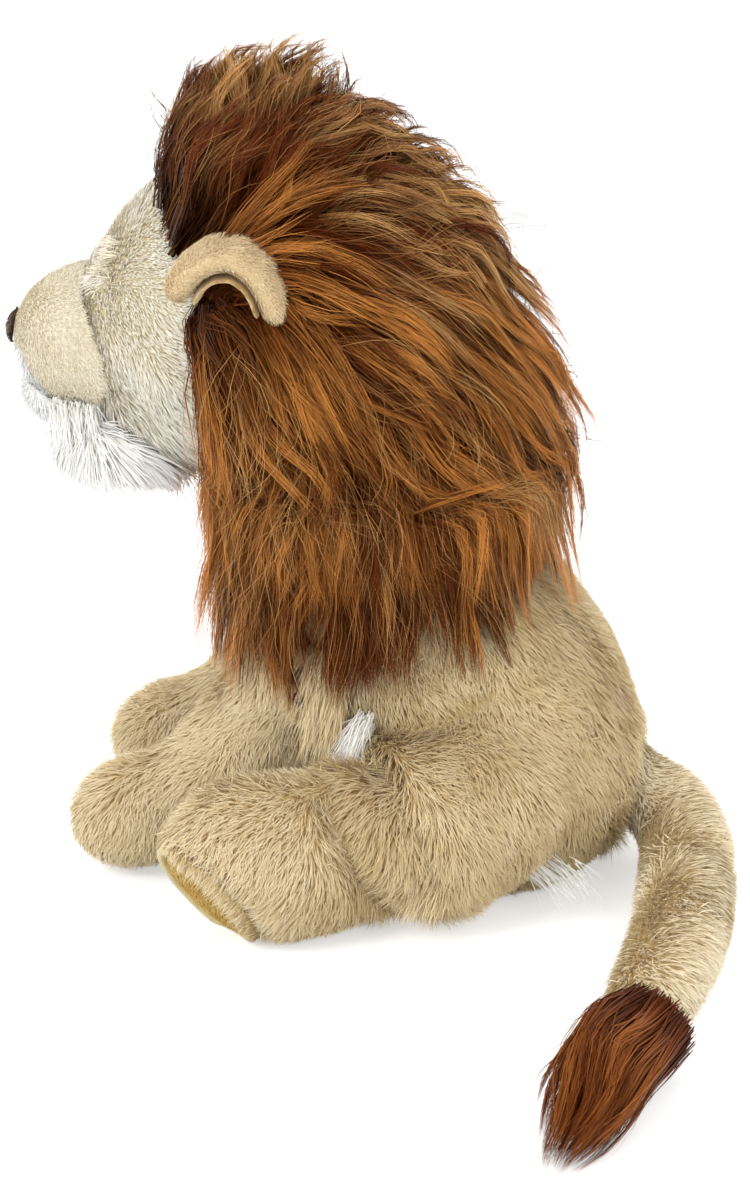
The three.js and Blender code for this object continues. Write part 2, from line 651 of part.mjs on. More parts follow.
// Mane cape: the long hair on the shoulders, with its hem rising to the back
const hemRun = new THREE.Vector3(0, cape.hemBack - cape.hemFront, cape.hemHigh - cape.hemLow).normalize();
const belowHem = halfSpace(new THREE.Vector3(0, cape.hemFront, cape.hemLow), hemRun.cross(across));
const capeForm = stack({
  heights: cape.heightShares.map((s) => cape.hemLow + s * (cape.high - cape.hemLow)),
  widths: cape.widthShares.map((s) => s * cape.halfWidth),
  depths: cape.depthShares.map((s) => s * cape.halfDepth),
  middles: cape.leanShares.map((s) => s * cape.lean),
  square: torso.squareShare, mesh: trunkMesh,
});
const capeInside = trunkForm(seamGap).add(bowl).add(limbSpaces);
piece('mane_cape', capeForm.subtract(capeInside).subtract(belowHem), brown);

export default lion;
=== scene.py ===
import math

import bmesh
import bpy
import numpy as np
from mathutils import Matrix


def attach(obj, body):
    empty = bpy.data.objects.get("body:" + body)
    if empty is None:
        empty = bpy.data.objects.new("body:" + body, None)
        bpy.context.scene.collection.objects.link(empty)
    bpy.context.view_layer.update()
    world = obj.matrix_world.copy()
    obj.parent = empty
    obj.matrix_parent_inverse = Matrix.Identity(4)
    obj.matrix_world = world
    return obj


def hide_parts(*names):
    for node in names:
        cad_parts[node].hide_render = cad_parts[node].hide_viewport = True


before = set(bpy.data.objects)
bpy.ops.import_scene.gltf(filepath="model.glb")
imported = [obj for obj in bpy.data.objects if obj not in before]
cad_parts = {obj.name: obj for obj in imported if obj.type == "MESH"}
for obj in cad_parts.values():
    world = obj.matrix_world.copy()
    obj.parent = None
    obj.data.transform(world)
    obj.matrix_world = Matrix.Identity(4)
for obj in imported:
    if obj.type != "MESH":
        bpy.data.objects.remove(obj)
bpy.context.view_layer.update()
print("frame loaded")

mm = 0.001  # the shapes below are worked out in millimetres
goldenAngle = math.pi * (3 - math.sqrt(5))


# Small tools for arrays

def unit(v):
    # each row divided by its own length
    return v / np.maximum(np.linalg.norm(v, axis=-1, keepdims=True), 1e-9)


def smoothStep(low, high, x):
    # 0 below low, 1 above high, and 3t^2 - 2t^3 between them
    t = np.clip((x - low) / (high - low), 0, 1)
    return t * t * (3 - 2 * t)


def mix(a, b, share):
    return a + (b - a) * share


def ripple(p, size, seed):
    # smooth noise from -1 to 1: the mean of eight sine waves that run in seeded directions
    rng = np.random.default_rng(seed)
    ways = unit(rng.normal(size=(8, 3))) * rng.uniform(0.6, 1.5, (8, 1))
    phase = rng.uniform(0, 2 * math.pi, 8)
    waves = np.sin(p @ ways.T * (2 * math.pi / size) + phase)
    return np.clip(waves.mean(axis=-1) * 2, -1, 1)


def ripples(p, size, seed):
    # a vector of three ripples, with seeds in a row
    return np.stack([ripple(p, size, seed + k) for k in range(3)], -1)


def ovalDepth(p, middle, halves):
    # distance to an oval, below zero inside it: k(k - 1) / g, where k is the length of the
    # offset over the half sizes, and g that of the offset over their squares
    d = p - np.array(middle)
    halves = np.array(halves, float)
    k = np.linalg.norm(d / halves, axis=-1)
    g = np.linalg.norm(d / halves ** 2, axis=-1)
    return k * (k - 1) / np.maximum(g, 1e-6)


def softUnion(a, b, reach):
    # the smaller of two distances, rounded where they are within reach of each other
    h = np.clip(0.5 + 0.5 * (b - a) / reach, 0, 1)
    return mix(b, a, h) - reach * h * (1 - h)


# Meshes

def link(name, mesh):
    piece = bpy.data.objects.new(name, mesh)
    bpy.context.collection.objects.link(piece)
    return piece


def readRows(mesh, what="co"):
    # the places of a mesh's points in metres, or with what = "vector" their normals
    source = mesh.vertices if what == "co" else mesh.vertex_normals
    rows = np.empty(len(mesh.vertices) * 3, np.float32)
    source.foreach_get(what, rows)
    return rows.reshape(-1, 3)


def writeRows(mesh, points):
    mesh.vertices.foreach_set("co", points.astype(np.float32).ravel())
    mesh.update()


def edgeEnds(mesh):
    ends = np.empty(len(mesh.edges) * 2, np.int32)
    mesh.edges.foreach_get("vertices", ends)
    return ends.reshape(-1, 2).T


def fillMesh(mesh, points, corners, sizes, uv=None):
    # points in millimetres, the corners of all the faces in one row, and each face's count of them
    mesh.vertices.add(len(points))
    mesh.vertices.foreach_set("co", (points * mm).astype(np.float32).ravel())
    mesh.loops.add(len(corners))
    mesh.loops.foreach_set("vertex_index", corners.astype(np.int32))
    mesh.polygons.add(len(sizes))
    starts = np.concatenate([[0], np.cumsum(sizes)[:-1]]).astype(np.int32)
    mesh.polygons.foreach_set("loop_start", starts)
    mesh.polygons.foreach_set("use_smooth", np.ones(len(sizes), bool))
    if uv is not None:
        layer = mesh.uv_layers.new(name="OFBake")
        layer.uv.foreach_set("vector", uv[corners].astype(np.float32).ravel())
    mesh.update(calc_edges=True)
    mesh.validate()


def ribbons(name, lines, faceOut, halfWidths, tone, material):
    # tapered ribbons along many lines: two points at each step, set apart across the line,
    # and one at the tip. The map's first number is the strand's tone and its second runs from
    # root to tip, so the colour of a strand is a function of that map alone
    count, steps = lines.shape[0], lines.shape[1] - 1
    along = unit(np.gradient(lines, axis=1))
    side = unit(np.cross(along, faceOut))[:, :-1] * halfWidths[..., None]
    left = lines[:, :-1] - side
    right = lines[:, :-1] + side
    pairs = np.stack([left, right], axis=2).reshape(count, steps * 2, 3)
    points = np.concatenate([pairs, lines[:, -1:]], axis=1)
    points[..., 2] = np.maximum(points[..., 2], 0.3)
    perStrand = steps * 2 + 1
    step = np.arange(steps - 1) * 2
    quads = np.stack([step, step + 1, step + 3, step + 2], axis=1).ravel()
    pattern = np.concatenate([quads, [perStrand - 3, perStrand - 2, perStrand - 1]])
    corners = (np.arange(count)[:, None] * perStrand + pattern).ravel()
    sizes = np.tile(np.r_[np.full(steps - 1, 4), 3], count)
    across = np.tile([-0.004, 0.004], steps)
    u = np.concatenate([tone[:, None] + across, tone[:, None]], axis=1)
    v = np.broadcast_to(np.r_[np.repeat(np.arange(steps) / steps, 2), 1.0], u.shape)
    mesh = bpy.data.meshes.new(name)
    fillMesh(mesh, points.reshape(-1, 3), corners, sizes, np.stack([u, v], -1).reshape(-1, 2))
    mesh.materials.append(material)
    print(name, count * (2 * steps - 1), "triangles")
    return link(name, mesh)


def readSkin(piece):
    # corners of each triangle in millimetres, their normals, and each triangle's area
    mesh = piece.data
    mesh.calc_loop_triangles()
    tris = np.empty(len(mesh.loop_triangles) * 3, np.int32)
    mesh.loop_triangles.foreach_get("vertices", tris)
    tris = tris.reshape(-1, 3)
    corners = readRows(mesh).astype(float)[tris] / mm
    normals = readRows(mesh, "vector").astype(float)[tris]
    cross = np.cross(corners[:, 1] - corners[:, 0], corners[:, 2] - corners[:, 0])
    return corners, normals, np.linalg.norm(cross, axis=1) / 2


def scatter(piece, spacing, wanted, seed):
    # roots at even steps along the running sum of the triangles' wanted areas
    rng = np.random.default_rng(seed)
    corners, normals, area = readSkin(piece)
    weight = area * wanted(corners.mean(axis=1), unit(normals.mean(axis=1)))
    total = np.cumsum(weight)
    count = int(total[-1] / spacing ** 2)
    picks = np.searchsorted(total, (np.arange(count) + rng.random(count)) * total[-1] / count)
    picks = np.minimum(picks, len(total) - 1)
    a, b = rng.random((2, count))
    fold = a + b > 1
    a, b = np.where(fold, 1 - a, a), np.where(fold, 1 - b, b)
    shares = np.stack([1 - a - b, a, b], axis=1)[..., None]
    return (corners[picks] * shares).sum(axis=1), unit((normals[picks] * shares).sum(axis=1))


def outerIsland(mesh):
    # keeps the loose part with the largest box: labels spread along the edges to their smallest
    a, b = edgeEnds(mesh)
    labels = np.arange(len(mesh.vertices))
    while True:
        low = np.minimum(labels[a], labels[b])
        spread = labels.copy()
        np.minimum.at(spread, a, low)
        np.minimum.at(spread, b, low)
        spread = spread[spread]
        if np.array_equal(spread, labels):
            break
        labels = spread
    points = readRows(mesh)
    names = np.unique(labels)
    reach = [np.ptp(points[labels == n], axis=0).sum() for n in names]
    keep = labels == names[int(np.argmax(reach))]
    if not keep.all():
        bm = bmesh.new()
        bm.from_mesh(mesh)
        bm.verts.ensure_lookup_table()
        bmesh.ops.delete(bm, geom=[bm.verts[i] for i in np.flatnonzero(~keep)], context="VERTS")
        bm.to_mesh(mesh)
        bm.free()


def relax(mesh, rounds, inset=0.0, insetShare=None, share=0.5):
    # each round moves a point towards the mean of its neighbours, and inwards by its part of the
    # inset, which insetShare scales by the point's place
    a, b = edgeEnds(mesh)
    count = len(mesh.vertices)
    ties = np.maximum(np.bincount(a, minlength=count) + np.bincount(b, minlength=count), 1)
    points = readRows(mesh).astype(float)
    inward = np.full((count, 1), inset * mm / rounds)
    if insetShare is not None:
        inward *= insetShare(points / mm)[:, None]
    for _ in range(rounds):
        sums = np.stack([
            np.bincount(a, points[b, k], count) + np.bincount(b, points[a, k], count)
            for k in range(3)], axis=1)
        points = mix(points, sums / ties[:, None], share)
        writeRows(mesh, points)
        if inset:
            points = points - readRows(mesh, "vector") * inward
            writeRows(mesh, points)


def cover(name, nodes, voxel, inset, rounds, material, body, insetShare=None):
    # an even skin over the solids of a stuffed piece, drawn in by the height of its pile
    bm = bmesh.new()
    for node in nodes:
        bm.from_mesh(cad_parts[node].data)
    bmesh.ops.remove_doubles(bm, verts=bm.verts, dist=0.00001)
    mesh = bpy.data.meshes.new(name)
    bm.to_mesh(mesh)
    bm.free()
    piece = link(name, mesh)
    even = piece.modifiers.new("evenMesh", "REMESH")
    even.mode = "VOXEL"
    even.voxel_size = voxel * mm
    graph = bpy.context.evaluated_depsgraph_get()
    piece.data = bpy.data.meshes.new_from_object(piece.evaluated_get(graph))
    piece.modifiers.clear()
    outerIsland(piece.data)
    relax(piece.data, rounds, inset, insetShare)
    piece.data.polygons.foreach_set("use_smooth", np.ones(len(piece.data.polygons), bool))
    piece.data.materials.clear()
    piece.data.materials.append(material)
    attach(piece, body)
    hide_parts(*nodes)
    return piece


def pinch(piece, line, depth, reach):
    # a crease: points move inwards by depth e^(-(d/reach)^2), where d is the distance to a line
    # on the side
    mesh = piece.data
    points, normals = readRows(mesh) / mm, readRows(mesh, "vector")
    apart = lineGap(points[:, 1:], line, 0)
    strength = depth * np.exp(-(apart / reach) ** 2) * smoothStep(0.1, 0.6, np.abs(normals[:, 0]))
    writeRows(mesh, (points - normals * strength[:, None]) * mm)


stuffing = {"pressure": 4, "frames": 20, "cap": 2.5}


def plump(pieces):
    # cloth simulation: pressure fills the covers with no gravity. A point moves by at most
    # the cap: its move is scaled down to that length
    for piece in pieces:
        cloth = piece.modifiers.new("stuffing", "CLOTH")
        cloth.settings.use_pressure = True
        cloth.settings.uniform_pressure_force = stuffing["pressure"]
        cloth.settings.effector_weights.gravity = 0
    for number in range(1, stuffing["frames"] + 1):
        bpy.context.scene.frame_set(number)
    graph = bpy.context.evaluated_depsgraph_get()
    for piece in pieces:
        before = readRows(piece.data)
        move = readRows(piece.evaluated_get(graph).data) - before
        length = np.linalg.norm(move, axis=1, keepdims=True)
        move *= np.minimum(1, stuffing["cap"] * mm / np.maximum(length, 1e-9))
        piece.modifiers.clear()
        writeRows(piece.data, before + move)
    bpy.context.scene.frame_set(1)


def gatherTips(lines, places, share):
    # lines whose places lie in one unit cell lean their tips towards the middle of those tips.
    # Gives the lines and each one's group
    keys = np.floor(places).astype(np.int64)
    _, group = np.unique(keys @ np.array([1, 4096, 16777216]), return_inverse=True)
    group = group.ravel()
    members = np.bincount(group)
    tips = lines[:, -1]
    middle = np.stack([np.bincount(group, tips[:, k]) / members for k in range(3)], -1)
    s = np.linspace(0, 1, lines.shape[1])[None, :, None]
    return lines + (middle[group] - tips)[:, None] * share * s ** 1.5, group


def bent(roots, length, start, end, steps):
    # strands that leave along start and bend towards end:
    # P(s) = root + L((s - s^2/2) a + (s^2/2) b)
    s = (np.arange(steps + 1) / steps)[None, :, None]
    curve = (s - s * s / 2) * start[:, None] + s * s / 2 * end[:, None]
    return roots[:, None] + length[:, None, None] * curve


# Materials

def rgb(text):
    # a colour written as on a screen, as linear light
    parts = [int(text[i:i + 2], 16) / 255 for i in (0, 2, 4)]
    return tuple(c / 12.92 if c < 0.04045 else ((c + 0.055) / 1.055) ** 2.4 for c in parts) + (1,)


def newGroup(name, inputs, outputs):
    group = bpy.data.node_groups.new(name, "ShaderNodeTree")
    for label, kind, start in inputs:
        socket = group.interface.new_socket(label, in_out="INPUT", socket_type=kind)
        if start is not None:
            socket.default_value = start
    for label, kind in outputs:
        group.interface.new_socket(label, in_out="OUTPUT", socket_type=kind)
    return group, group.nodes.new("NodeGroupInput"), group.nodes.new("NodeGroupOutput")


def addNode(tree, kind, values=None, **settings):
    node = tree.nodes.new("ShaderNode" + kind)
    for name, value in settings.items():
        setattr(node, name, value)
    for name, value in (values or {}).items():
        node.inputs[name].default_value = value
    return node


def mixColours(tree, share, a, b):
    blend = addNode(tree, "Mix", data_type="RGBA")
    for label, socket in (("Factor", share), ("A", a), ("B", b)):
        tree.links.new(socket, blend.inputs[label])
    return blend.outputs["Result"]


def strandGroup():
    # the colour of a strand: root to tip by the map's second number, dark to bright by its first
    group, source, result = newGroup("strandTone", [
        ("darkRoot", "NodeSocketColor", None), ("darkTip", "NodeSocketColor", None),
        ("brightRoot", "NodeSocketColor", None), ("brightTip", "NodeSocketColor", None),
        ("rootReach", "NodeSocketFloat", 0.6)], [("colour", "NodeSocketColor")])
    join = group.links.new
    uv = addNode(group, "UVMap", uv_map="OFBake")
    parts = addNode(group, "SeparateXYZ")
    join(uv.outputs["UV"], parts.inputs[0])
    reach = addNode(group, "MapRange", interpolation_type="SMOOTHSTEP")
    join(parts.outputs["Y"], reach.inputs["Value"])
    join(source.outputs["rootReach"], reach.inputs["From Max"])
    dark, bright = [
        mixColours(group, reach.outputs["Result"], source.outputs[low], source.outputs[high])
        for low, high in (("darkRoot", "darkTip"), ("brightRoot", "brightTip"))]
    join(mixColours(group, parts.outputs["X"], dark, bright), result.inputs["colour"])
    return group


def napGroup():
    # short nap on cloth: two noises over the surface mix two colours and raise the grain
    group, source, result = newGroup("napGrain", [
        ("deep", "NodeSocketColor", None), ("pale", "NodeSocketColor", None),
        ("scale", "NodeSocketFloat", 300.0), ("height", "NodeSocketFloat", 0.4)],
        [("colour", "NodeSocketColor"), ("normal", "NodeSocketVector")])
    join = group.links.new
    place = addNode(group, "TexCoord")
    grain = addNode(group, "TexNoise", {"Detail": 4})
    join(source.outputs["scale"], grain.inputs["Scale"])
    patch = addNode(group, "TexNoise", {"Scale": 60})
    both = addNode(group, "Math", operation="ADD")
    for slot, noise in enumerate((grain, patch)):
        join(place.outputs["Object"], noise.inputs["Vector"])
        join(noise.outputs["Fac"], both.inputs[slot])
    spread = addNode(group, "MapRange", {"From Min": 0.75, "From Max": 1.25})
    join(both.outputs[0], spread.inputs["Value"])
    colour = mixColours(group, spread.outputs["Result"], source.outputs["deep"], source.outputs["pale"])
    join(colour, result.inputs["colour"])
    bump = addNode(group, "Bump", {"Distance": 0.001})
    join(source.outputs["height"], bump.inputs["Strength"])
    join(grain.outputs["Fac"], bump.inputs["Height"])
    join(bump.outputs["Normal"], result.inputs["normal"])
    return group


strandTone = strandGroup()
napGrain = napGroup()


def newMaterial(name, roughness, sheen, specular=0.3):
    material = bpy.data.materials.new(name)
    material.use_nodes = True
    shader = material.node_tree.nodes["Principled BSDF"]
    shader.inputs["Roughness"].default_value = roughness
    shader.inputs["Sheen Weight"].default_value = sheen
    shader.inputs["Specular IOR Level"].default_value = specular
    return material, shader


def placeGroup(material, shader, group, values):
    # the group in the material with its own values, each output joined to the shader's input
    tree = material.node_tree
    node = addNode(tree, "Group", node_tree=group)
    for label, value in values.items():
        node.inputs[label].default_value = rgb(value) if isinstance(value, str) else value
    for label, target in (("colour", "Base Color"), ("normal", "Normal")):
        if label in node.outputs:
            tree.links.new(node.outputs[label], shader.inputs[target])
    return material


def strandMaterial(name, darkRoot, darkTip, brightRoot, brightTip, reach, roughness, sheen,
                   specular=0.3, tint=None):
    material, shader = newMaterial(name, roughness, sheen, specular)
    if tint:
        shader.inputs["Specular Tint"].default_value = rgb(tint)
    return placeGroup(material, shader, strandTone, {
        "darkRoot": darkRoot, "darkTip": darkTip, "brightRoot": brightRoot, "brightTip": brightTip,
        "rootReach": reach})


def napMaterial(name, deep, pale, scale, height, roughness=0.9, sheen=0.3, specular=0.3):
    material, shader = newMaterial(name, roughness, sheen, specular)
    return placeGroup(material, shader, napGrain, {
        "deep": deep, "pale": pale, "scale": scale, "height": height})


tanPile = strandMaterial("tanPile", "bc9c62", "d0b681", "d8be8a", "eedeb9", 0.7, 0.85, 0.1, 0.2)
# a paler copy of the tan pile: painted light on the tail
litTailPile = strandMaterial("litTailPile", "c8ab76", "dac394", "e4cfa2", "f8ecce", 0.7, 0.85, 0.1, 0.2)
creamPile = strandMaterial("creamPile", "e5dabd", "f2ebd6", "f4efde", "fefcf5", 0.7, 0.85, 0.1, 0.2)
whitePile = strandMaterial("whitePile", "dedbd0", "f2f1ea", "efeee8", "fdfdfc", 0.6, 0.8, 0.1, 0.2)
# the mane's hair runs from near-black roots to golden tips: the dark roots are partly the hair's own colour
# and partly painted shade deep in the mane
maneHair = strandMaterial("maneHair", "140200", "4a1604", "561c05", "e0964a", 1.15, 0.4, 0.0, 0.45, "ffb060")
crownHair = strandMaterial("crownHair", "160300", "66220a", "5e1e05", "f6c47c", 1.3, 0.4, 0.0, 0.4, "ffb060")
tuftHair = strandMaterial("tuftHair", "2a0802", "4c1a08", "5a230c", "a4602c", 0.7, 0.5, 0.0, 0.25, "ffb060")
velvetPile = strandMaterial("velvetPile", "d8ccb0", "e8e0cc", "e4dcc6", "f4f0e2", 0.8, 0.85, 0.1, 0.2)
earPile = strandMaterial("earPile", "c6a97c", "dcc79c", "d3b98c", "ecdcba", 0.8, 0.85, 0.1, 0.2)
solePile = strandMaterial("solePile", "a37a28", "c59c44", "ba913c", "e2c67c", 0.8, 0.85, 0.1, 0.2)
nosePile = strandMaterial("nosePile", "0c0805", "1a110b", "64462c", "a8845c", 0.8, 0.8, 0.1, 0.2)
chinPile = strandMaterial("chinPile", "e8e8e5", "f6f6f4", "f0f0ee", "fefefe", 0.6, 0.7, 0.1, 0.2)
tanBacking = napMaterial("tanBacking", "c4a870", "d9c28c", 500, 0.5)
creamBacking = napMaterial("creamBacking", "dccca4", "ece2c4", 500, 0.5)
whiteBacking = napMaterial("whiteBacking", "dedbd0", "f1f0e8", 500, 0.4)
# near-black brown under the mane's hair: the colour of its roots, and painted shade for the inside of the
# mane
maneBacking = napMaterial("maneBacking", "1c0500", "3a1206", 400, 0.6, 0.9, 0.0, 0.0)
velvetCloth = napMaterial("velvetCloth", "ded3b6", "eae2cc", 700, 0.35)
earCloth = napMaterial("earCloth", "cfb487", "e0cca4", 700, 0.35)
soleCloth = napMaterial("soleCloth", "a37c2c", "c79f4c", 700, 0.4)
pipingCloth = napMaterial("pipingCloth", "d0ba7c", "e2d2a0", 900, 0.3)
noseCloth = napMaterial("noseCloth", "1c120c", "5a4030", 800, 0.4)
chinCloth = napMaterial("chinCloth", "ecece9", "fbfbfa", 700, 0.25)
liningCloth = napMaterial("liningCloth", "b4935a", "d9c190", 500, 0.7)
print("materials ready")


# Covers of the stuffed pieces

sides = {"left": 1, "right": -1}
# the balls of the body that the head and the limbs cover, on the left: middle, radius
coveredBalls = [((0, -72, 206), 88), ((0, 54, 34), 16), ((37, -66, 88), 20), ((66, -18, 38), 22)]
muzzleOval = ((0, -142, 202), (34, 35, 29))
chinOval = ((0, -156, 183), (20, 17.5, 15))


def away(p, middle):
    return np.linalg.norm(p - np.array(middle), axis=-1)


def folded(p):
    # both sides of the toy laid on its left one
    return np.abs(p * [1, 0, 0]) + p * [0, 1, 1]


def lineGap(p, line, radius):
    # distance to a line of points, less a radius
    line = np.array(line, float)
    steps = np.diff(line, axis=0)
    offset = p[..., None, :] - line[:-1]
    share = np.clip((offset * steps).sum(-1) / (steps ** 2).sum(-1), 0, 1)
    return np.linalg.norm(offset - share[..., None] * steps, axis=-1).min(axis=-1) - radius


# middle line and radius of the left limbs, and of the tail's first half
limbLines = [
    ([(37, -66, 88), (37, -83, 59), (37, -107, 33), (37, -133, 24)], 25),
    ([(66, -18, 38), (82, -45, 36), (93, -74, 36), (95, -99, 37)], 30),
    ([(0, 54, 34), (3, 67, 30), (20, 80, 23), (60, 84, 20), (100, 84, 20)], 20.5),
]
bodyOvals = [((52, -5, 44), (42, 48, 42.5)), ((0, -10, 76), (62, 66, 88))]


def limbGap(p):
    return np.min([lineGap(folded(p), line, radius) for line, radius in limbLines], axis=0)


def bodyGap(p):
    return np.min([ovalDepth(folded(p), *form) for form in bodyOvals], axis=0)


def torsoShare(p):
    # the torso's cover is drawn in less where a limb is near, so that the creases stay closed
    return 0.1 + 0.9 * smoothStep(1.5, 13, limbGap(p))


def limbShare(p):
    # the same for a limb where the torso is near
    return 0.1 + 0.9 * smoothStep(1.5, 13, bodyGap(p))


def faceShare(p):
    return 0.15 + 0.85 * smoothStep(1, 12, np.minimum(ovalDepth(p, *muzzleOval), ovalDepth(p, *chinOval)))


limbs = ["left_front_leg", "right_front_leg", "left_hind_leg", "right_hind_leg", "tail"]
coverSizes = {"voxel": 4.0, "rounds": 6}
coverList = {
    # body: nodes that its cover stands for, drawn in by, material
    "torso": (["torso_skin", "torso_stuffing", "pellet_bag"], 5, tanBacking),
    **{limb: ([limb, limb + "_stuffing"], 5, tanBacking) for limb in limbs},
    "head": (["head_skin", "head_stuffing"], 3.5, creamBacking),
}
covers = {}
for body, (nodes, inset, material) in coverList.items():
    share = {"head": faceShare, "torso": torsoShare}.get(body, limbShare)
    covers[body] = cover(body + "_cover", nodes, coverSizes["voxel"], inset, coverSizes["rounds"],
                         material, body, share)
neckCover = cover("neck_cover", ["neck_stuffing"], 3, 0.5, 3, creamBacking, "neck")
bellyCover = cover("belly_cover", ["belly_panel"], 2.5, 0.5, 3, whiteBacking, "torso")
print("covers made")
plump(list(covers.values()))
# creases on both sides, each a line of places back and up
thighCrease = [(-43, 62), (-39, 52), (-33, 38), (-27, 26), (-22, 14)]
flankCrease = [(-34, 72), (-22, 76), (-10, 80), (8, 90)]
for side in sides:
    pinch(covers[side + "_hind_leg"], thighCrease, 7, 5)
pinch(covers["torso"], flankCrease, 3.5, 3.5)
print("covers filled")


# Short pile


def furCoat(name, skin, coat, flow, tone, wanted, material, body, seed):
    # short pile: each strand leaves its root at one angle and bends to a lower one. Strands in one
    # cell of a warped grid lean together, so that the pile breaks into small locks
    roots, normals = scatter(skin, coat["spacing"], wanted, seed)
    rng = np.random.default_rng(seed + 1)
    count = len(roots)
    aim = flow(roots, normals)
    aim = aim + 0.45 * ripples(roots, 34, seed + 2)  # slow swirls
    aim = aim + rng.normal(0, coat.get("mess", 0.18), (count, 3))
    aim = unit(aim - normals * (aim * normals).sum(-1, keepdims=True))
    rise, lie = np.radians(coat["rise"]), np.radians(coat["lie"])
    start = aim * math.cos(rise) + normals * math.sin(rise)
    end = aim * math.cos(lie) + normals * math.sin(lie)
    length = coat["length"] * rng.uniform(0.75, 1.15, count) * coat.get("share", lambda p: 1.0)(roots)
    steps = coat.get("steps", 2)
    lines = bent(roots, length, start, end, steps)
    cell = coat["clump"]
    warp = roots + 0.35 * cell * ripples(roots, cell * 4, seed + 5)
    lines, group = gatherTips(lines, warp / cell, coat["gather"])
    turn = rng.normal(0, 0.25, count)
    across = np.cross(aim, normals)
    faceOut = normals * np.cos(turn)[:, None] + across * np.sin(turn)[:, None]
    taper = 1 - 0.75 * (np.arange(steps) / steps) ** 1.5
    halfWidths = coat["halfWidth"] * rng.uniform(0.7, 1.2, (count, 1)) * taper
    groupTone = rng.normal(0, 0.09, group.max() + 1)[group]
    shade = np.clip(tone(roots, normals) + groupTone + rng.normal(0, 0.08, count), 0.01, 0.99)
    piece = ribbons(name, lines, faceOut[:, None] + np.zeros_like(lines), halfWidths, shade, material)
    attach(piece, body)
    return piece


hemFront, hemBack = (-40, 88), (30, 111)


def hemHeight(y):
    # the mane's lower edge: level in front, and rising to the back
    rise = (hemBack[1] - hemFront[1]) / (hemBack[0] - hemFront[0])
    return hemFront[1] + np.clip(y - hemFront[0], 0, 80) * rise


bodyCoat = {
    "spacing": 0.84, "length": 8.0, "rise": 44, "lie": 16, "clump": 4.4, "gather": 0.26,
    "halfWidth": 0.27, "mess": 0.38,
}
# longer where limb and torso meet, to cover the seam
torsoCoat = dict(bodyCoat, share=lambda p: 1 + 0.7 * smoothStep(9, 1, limbGap(p)))
limbCoat = dict(bodyCoat, share=lambda p: 1 + 0.7 * smoothStep(9, 1, bodyGap(p)))


def torsoWanted(p, n):
    # not under the mane, the head and the limbs, and thinner on the seat
    keep = p[:, 2] < hemHeight(p[:, 1]) + 38
    for middle, radius in coveredBalls:
        keep &= away(folded(p), middle) > radius
    return keep * np.where(n[:, 2] < -0.9, 0.5, 1.0)


def leaning(p, outward, back, up):
    # one direction, mirrored on the right side
    return np.stack([outward * np.sign(p[:, 0]), back + 0 * p[:, 1], up + 0 * p[:, 2]], -1)


def oneWay(*way):
    # a flow with one direction everywhere
    return lambda p, n: np.zeros_like(p) + np.array(way)


def mottled(middle, height, size, seed):
    # a tone with soft patches
    return lambda p, n: middle + height * ripple(p, size, seed)


def torsoFlow(p, n):
    # back and down
    return leaning(p, 0.2, 0.55, -0.9)


def bodyTone(p, n):
    # painted shade in the creases, and paler on the paws and round the tail's root
    # painted shade along the thigh and flank creases
    crease = np.minimum(lineGap(p[:, 1:], thighCrease, 0) / 3, lineGap(p[:, 1:], flankCrease, 0) / 2.5)
    crease = np.exp(-crease ** 2) * (np.abs(p[:, 0]) > 45)
    # paler towards the front, partly the legs' own paler colour and partly painted light against the mane's
    # shadow on the shoulders; paler round the tail's root as painted light
    paler = 0.4 * smoothStep(-25, -80, p[:, 1]) + 0.6 * smoothStep(50, 70, p[:, 1]) * (p[:, 2] < 60)
    return 0.52 + 0.14 * ripple(p, 45, 90) + 0.1 * ripple(p, 16, 91) - 0.6 * crease + paler


def allOver(p, n):
    return np.ones(len(p))


soleDisc = {"middle": (95, -89, 20), "tilt": 33, "turn": 50, "halfWidth": 19, "halfLength": 24}


def soleMiddle(half):
    # half is 1 on the left and -1 on the right
    return np.array(soleDisc["middle"]) * np.array([half, 1, 1])


def soleWays(half):
    # the sole's directions: across it, along it, and out of it
    tilt, turn = math.radians(soleDisc["tilt"]), math.radians(soleDisc["turn"]) * half
    across = np.array([math.cos(turn), math.sin(turn), 0])
    along = np.array([math.sin(tilt) * math.sin(turn), -math.sin(tilt) * math.cos(turn), math.cos(tilt)])
    return across, along, np.cross(across, along)


def padGap(p, half):
    # distance outside the pad's oval in the plane of the sole, and far away behind that plane
    across, along, out = soleWays(half)
    offset = p - soleMiddle(half)
    reach = np.hypot(offset @ across / soleDisc["halfWidth"], offset @ along / soleDisc["halfLength"])
    return np.where(offset @ out > -7, (reach - 1) * soleDisc["halfWidth"], 99)


def overSole(p):
    # 1 just outside the pad's outer and upper edge, and the way from there over the pad
    half = 1 if p[:, 0].mean() > 0 else -1
    across, along, out = soleWays(half)
    offset = p - soleMiddle(half)
    aside, high = offset @ across / soleDisc["halfWidth"], offset @ along / soleDisc["halfLength"]
    share = smoothStep(9, 1, padGap(p, half)) * smoothStep(-0.1, 0.5, aside * half + 0.5 * high)
    return share, out - 0.5 * aside[:, None] * across - 0.3 * high[:, None] * along


def legFlow(p, n):
    # forwards and down, and over the sole's outer edge
    share, way = overSole(p)
    return mix(leaning(p, 0.3, -0.5, -0.75), way, share[:, None])


def armFlow(p, n):
    # down the leg to the paw
    return leaning(p, 0.1, -0.35, -0.9)


def tailFlow(p, n):
    # across the tail and a little along it, in slow swirls
    angle = np.radians(62 + 40 * ripple(p, 60, 98))
    return np.stack([np.cos(angle), np.sin(angle), 0 * angle - 0.35], -1)


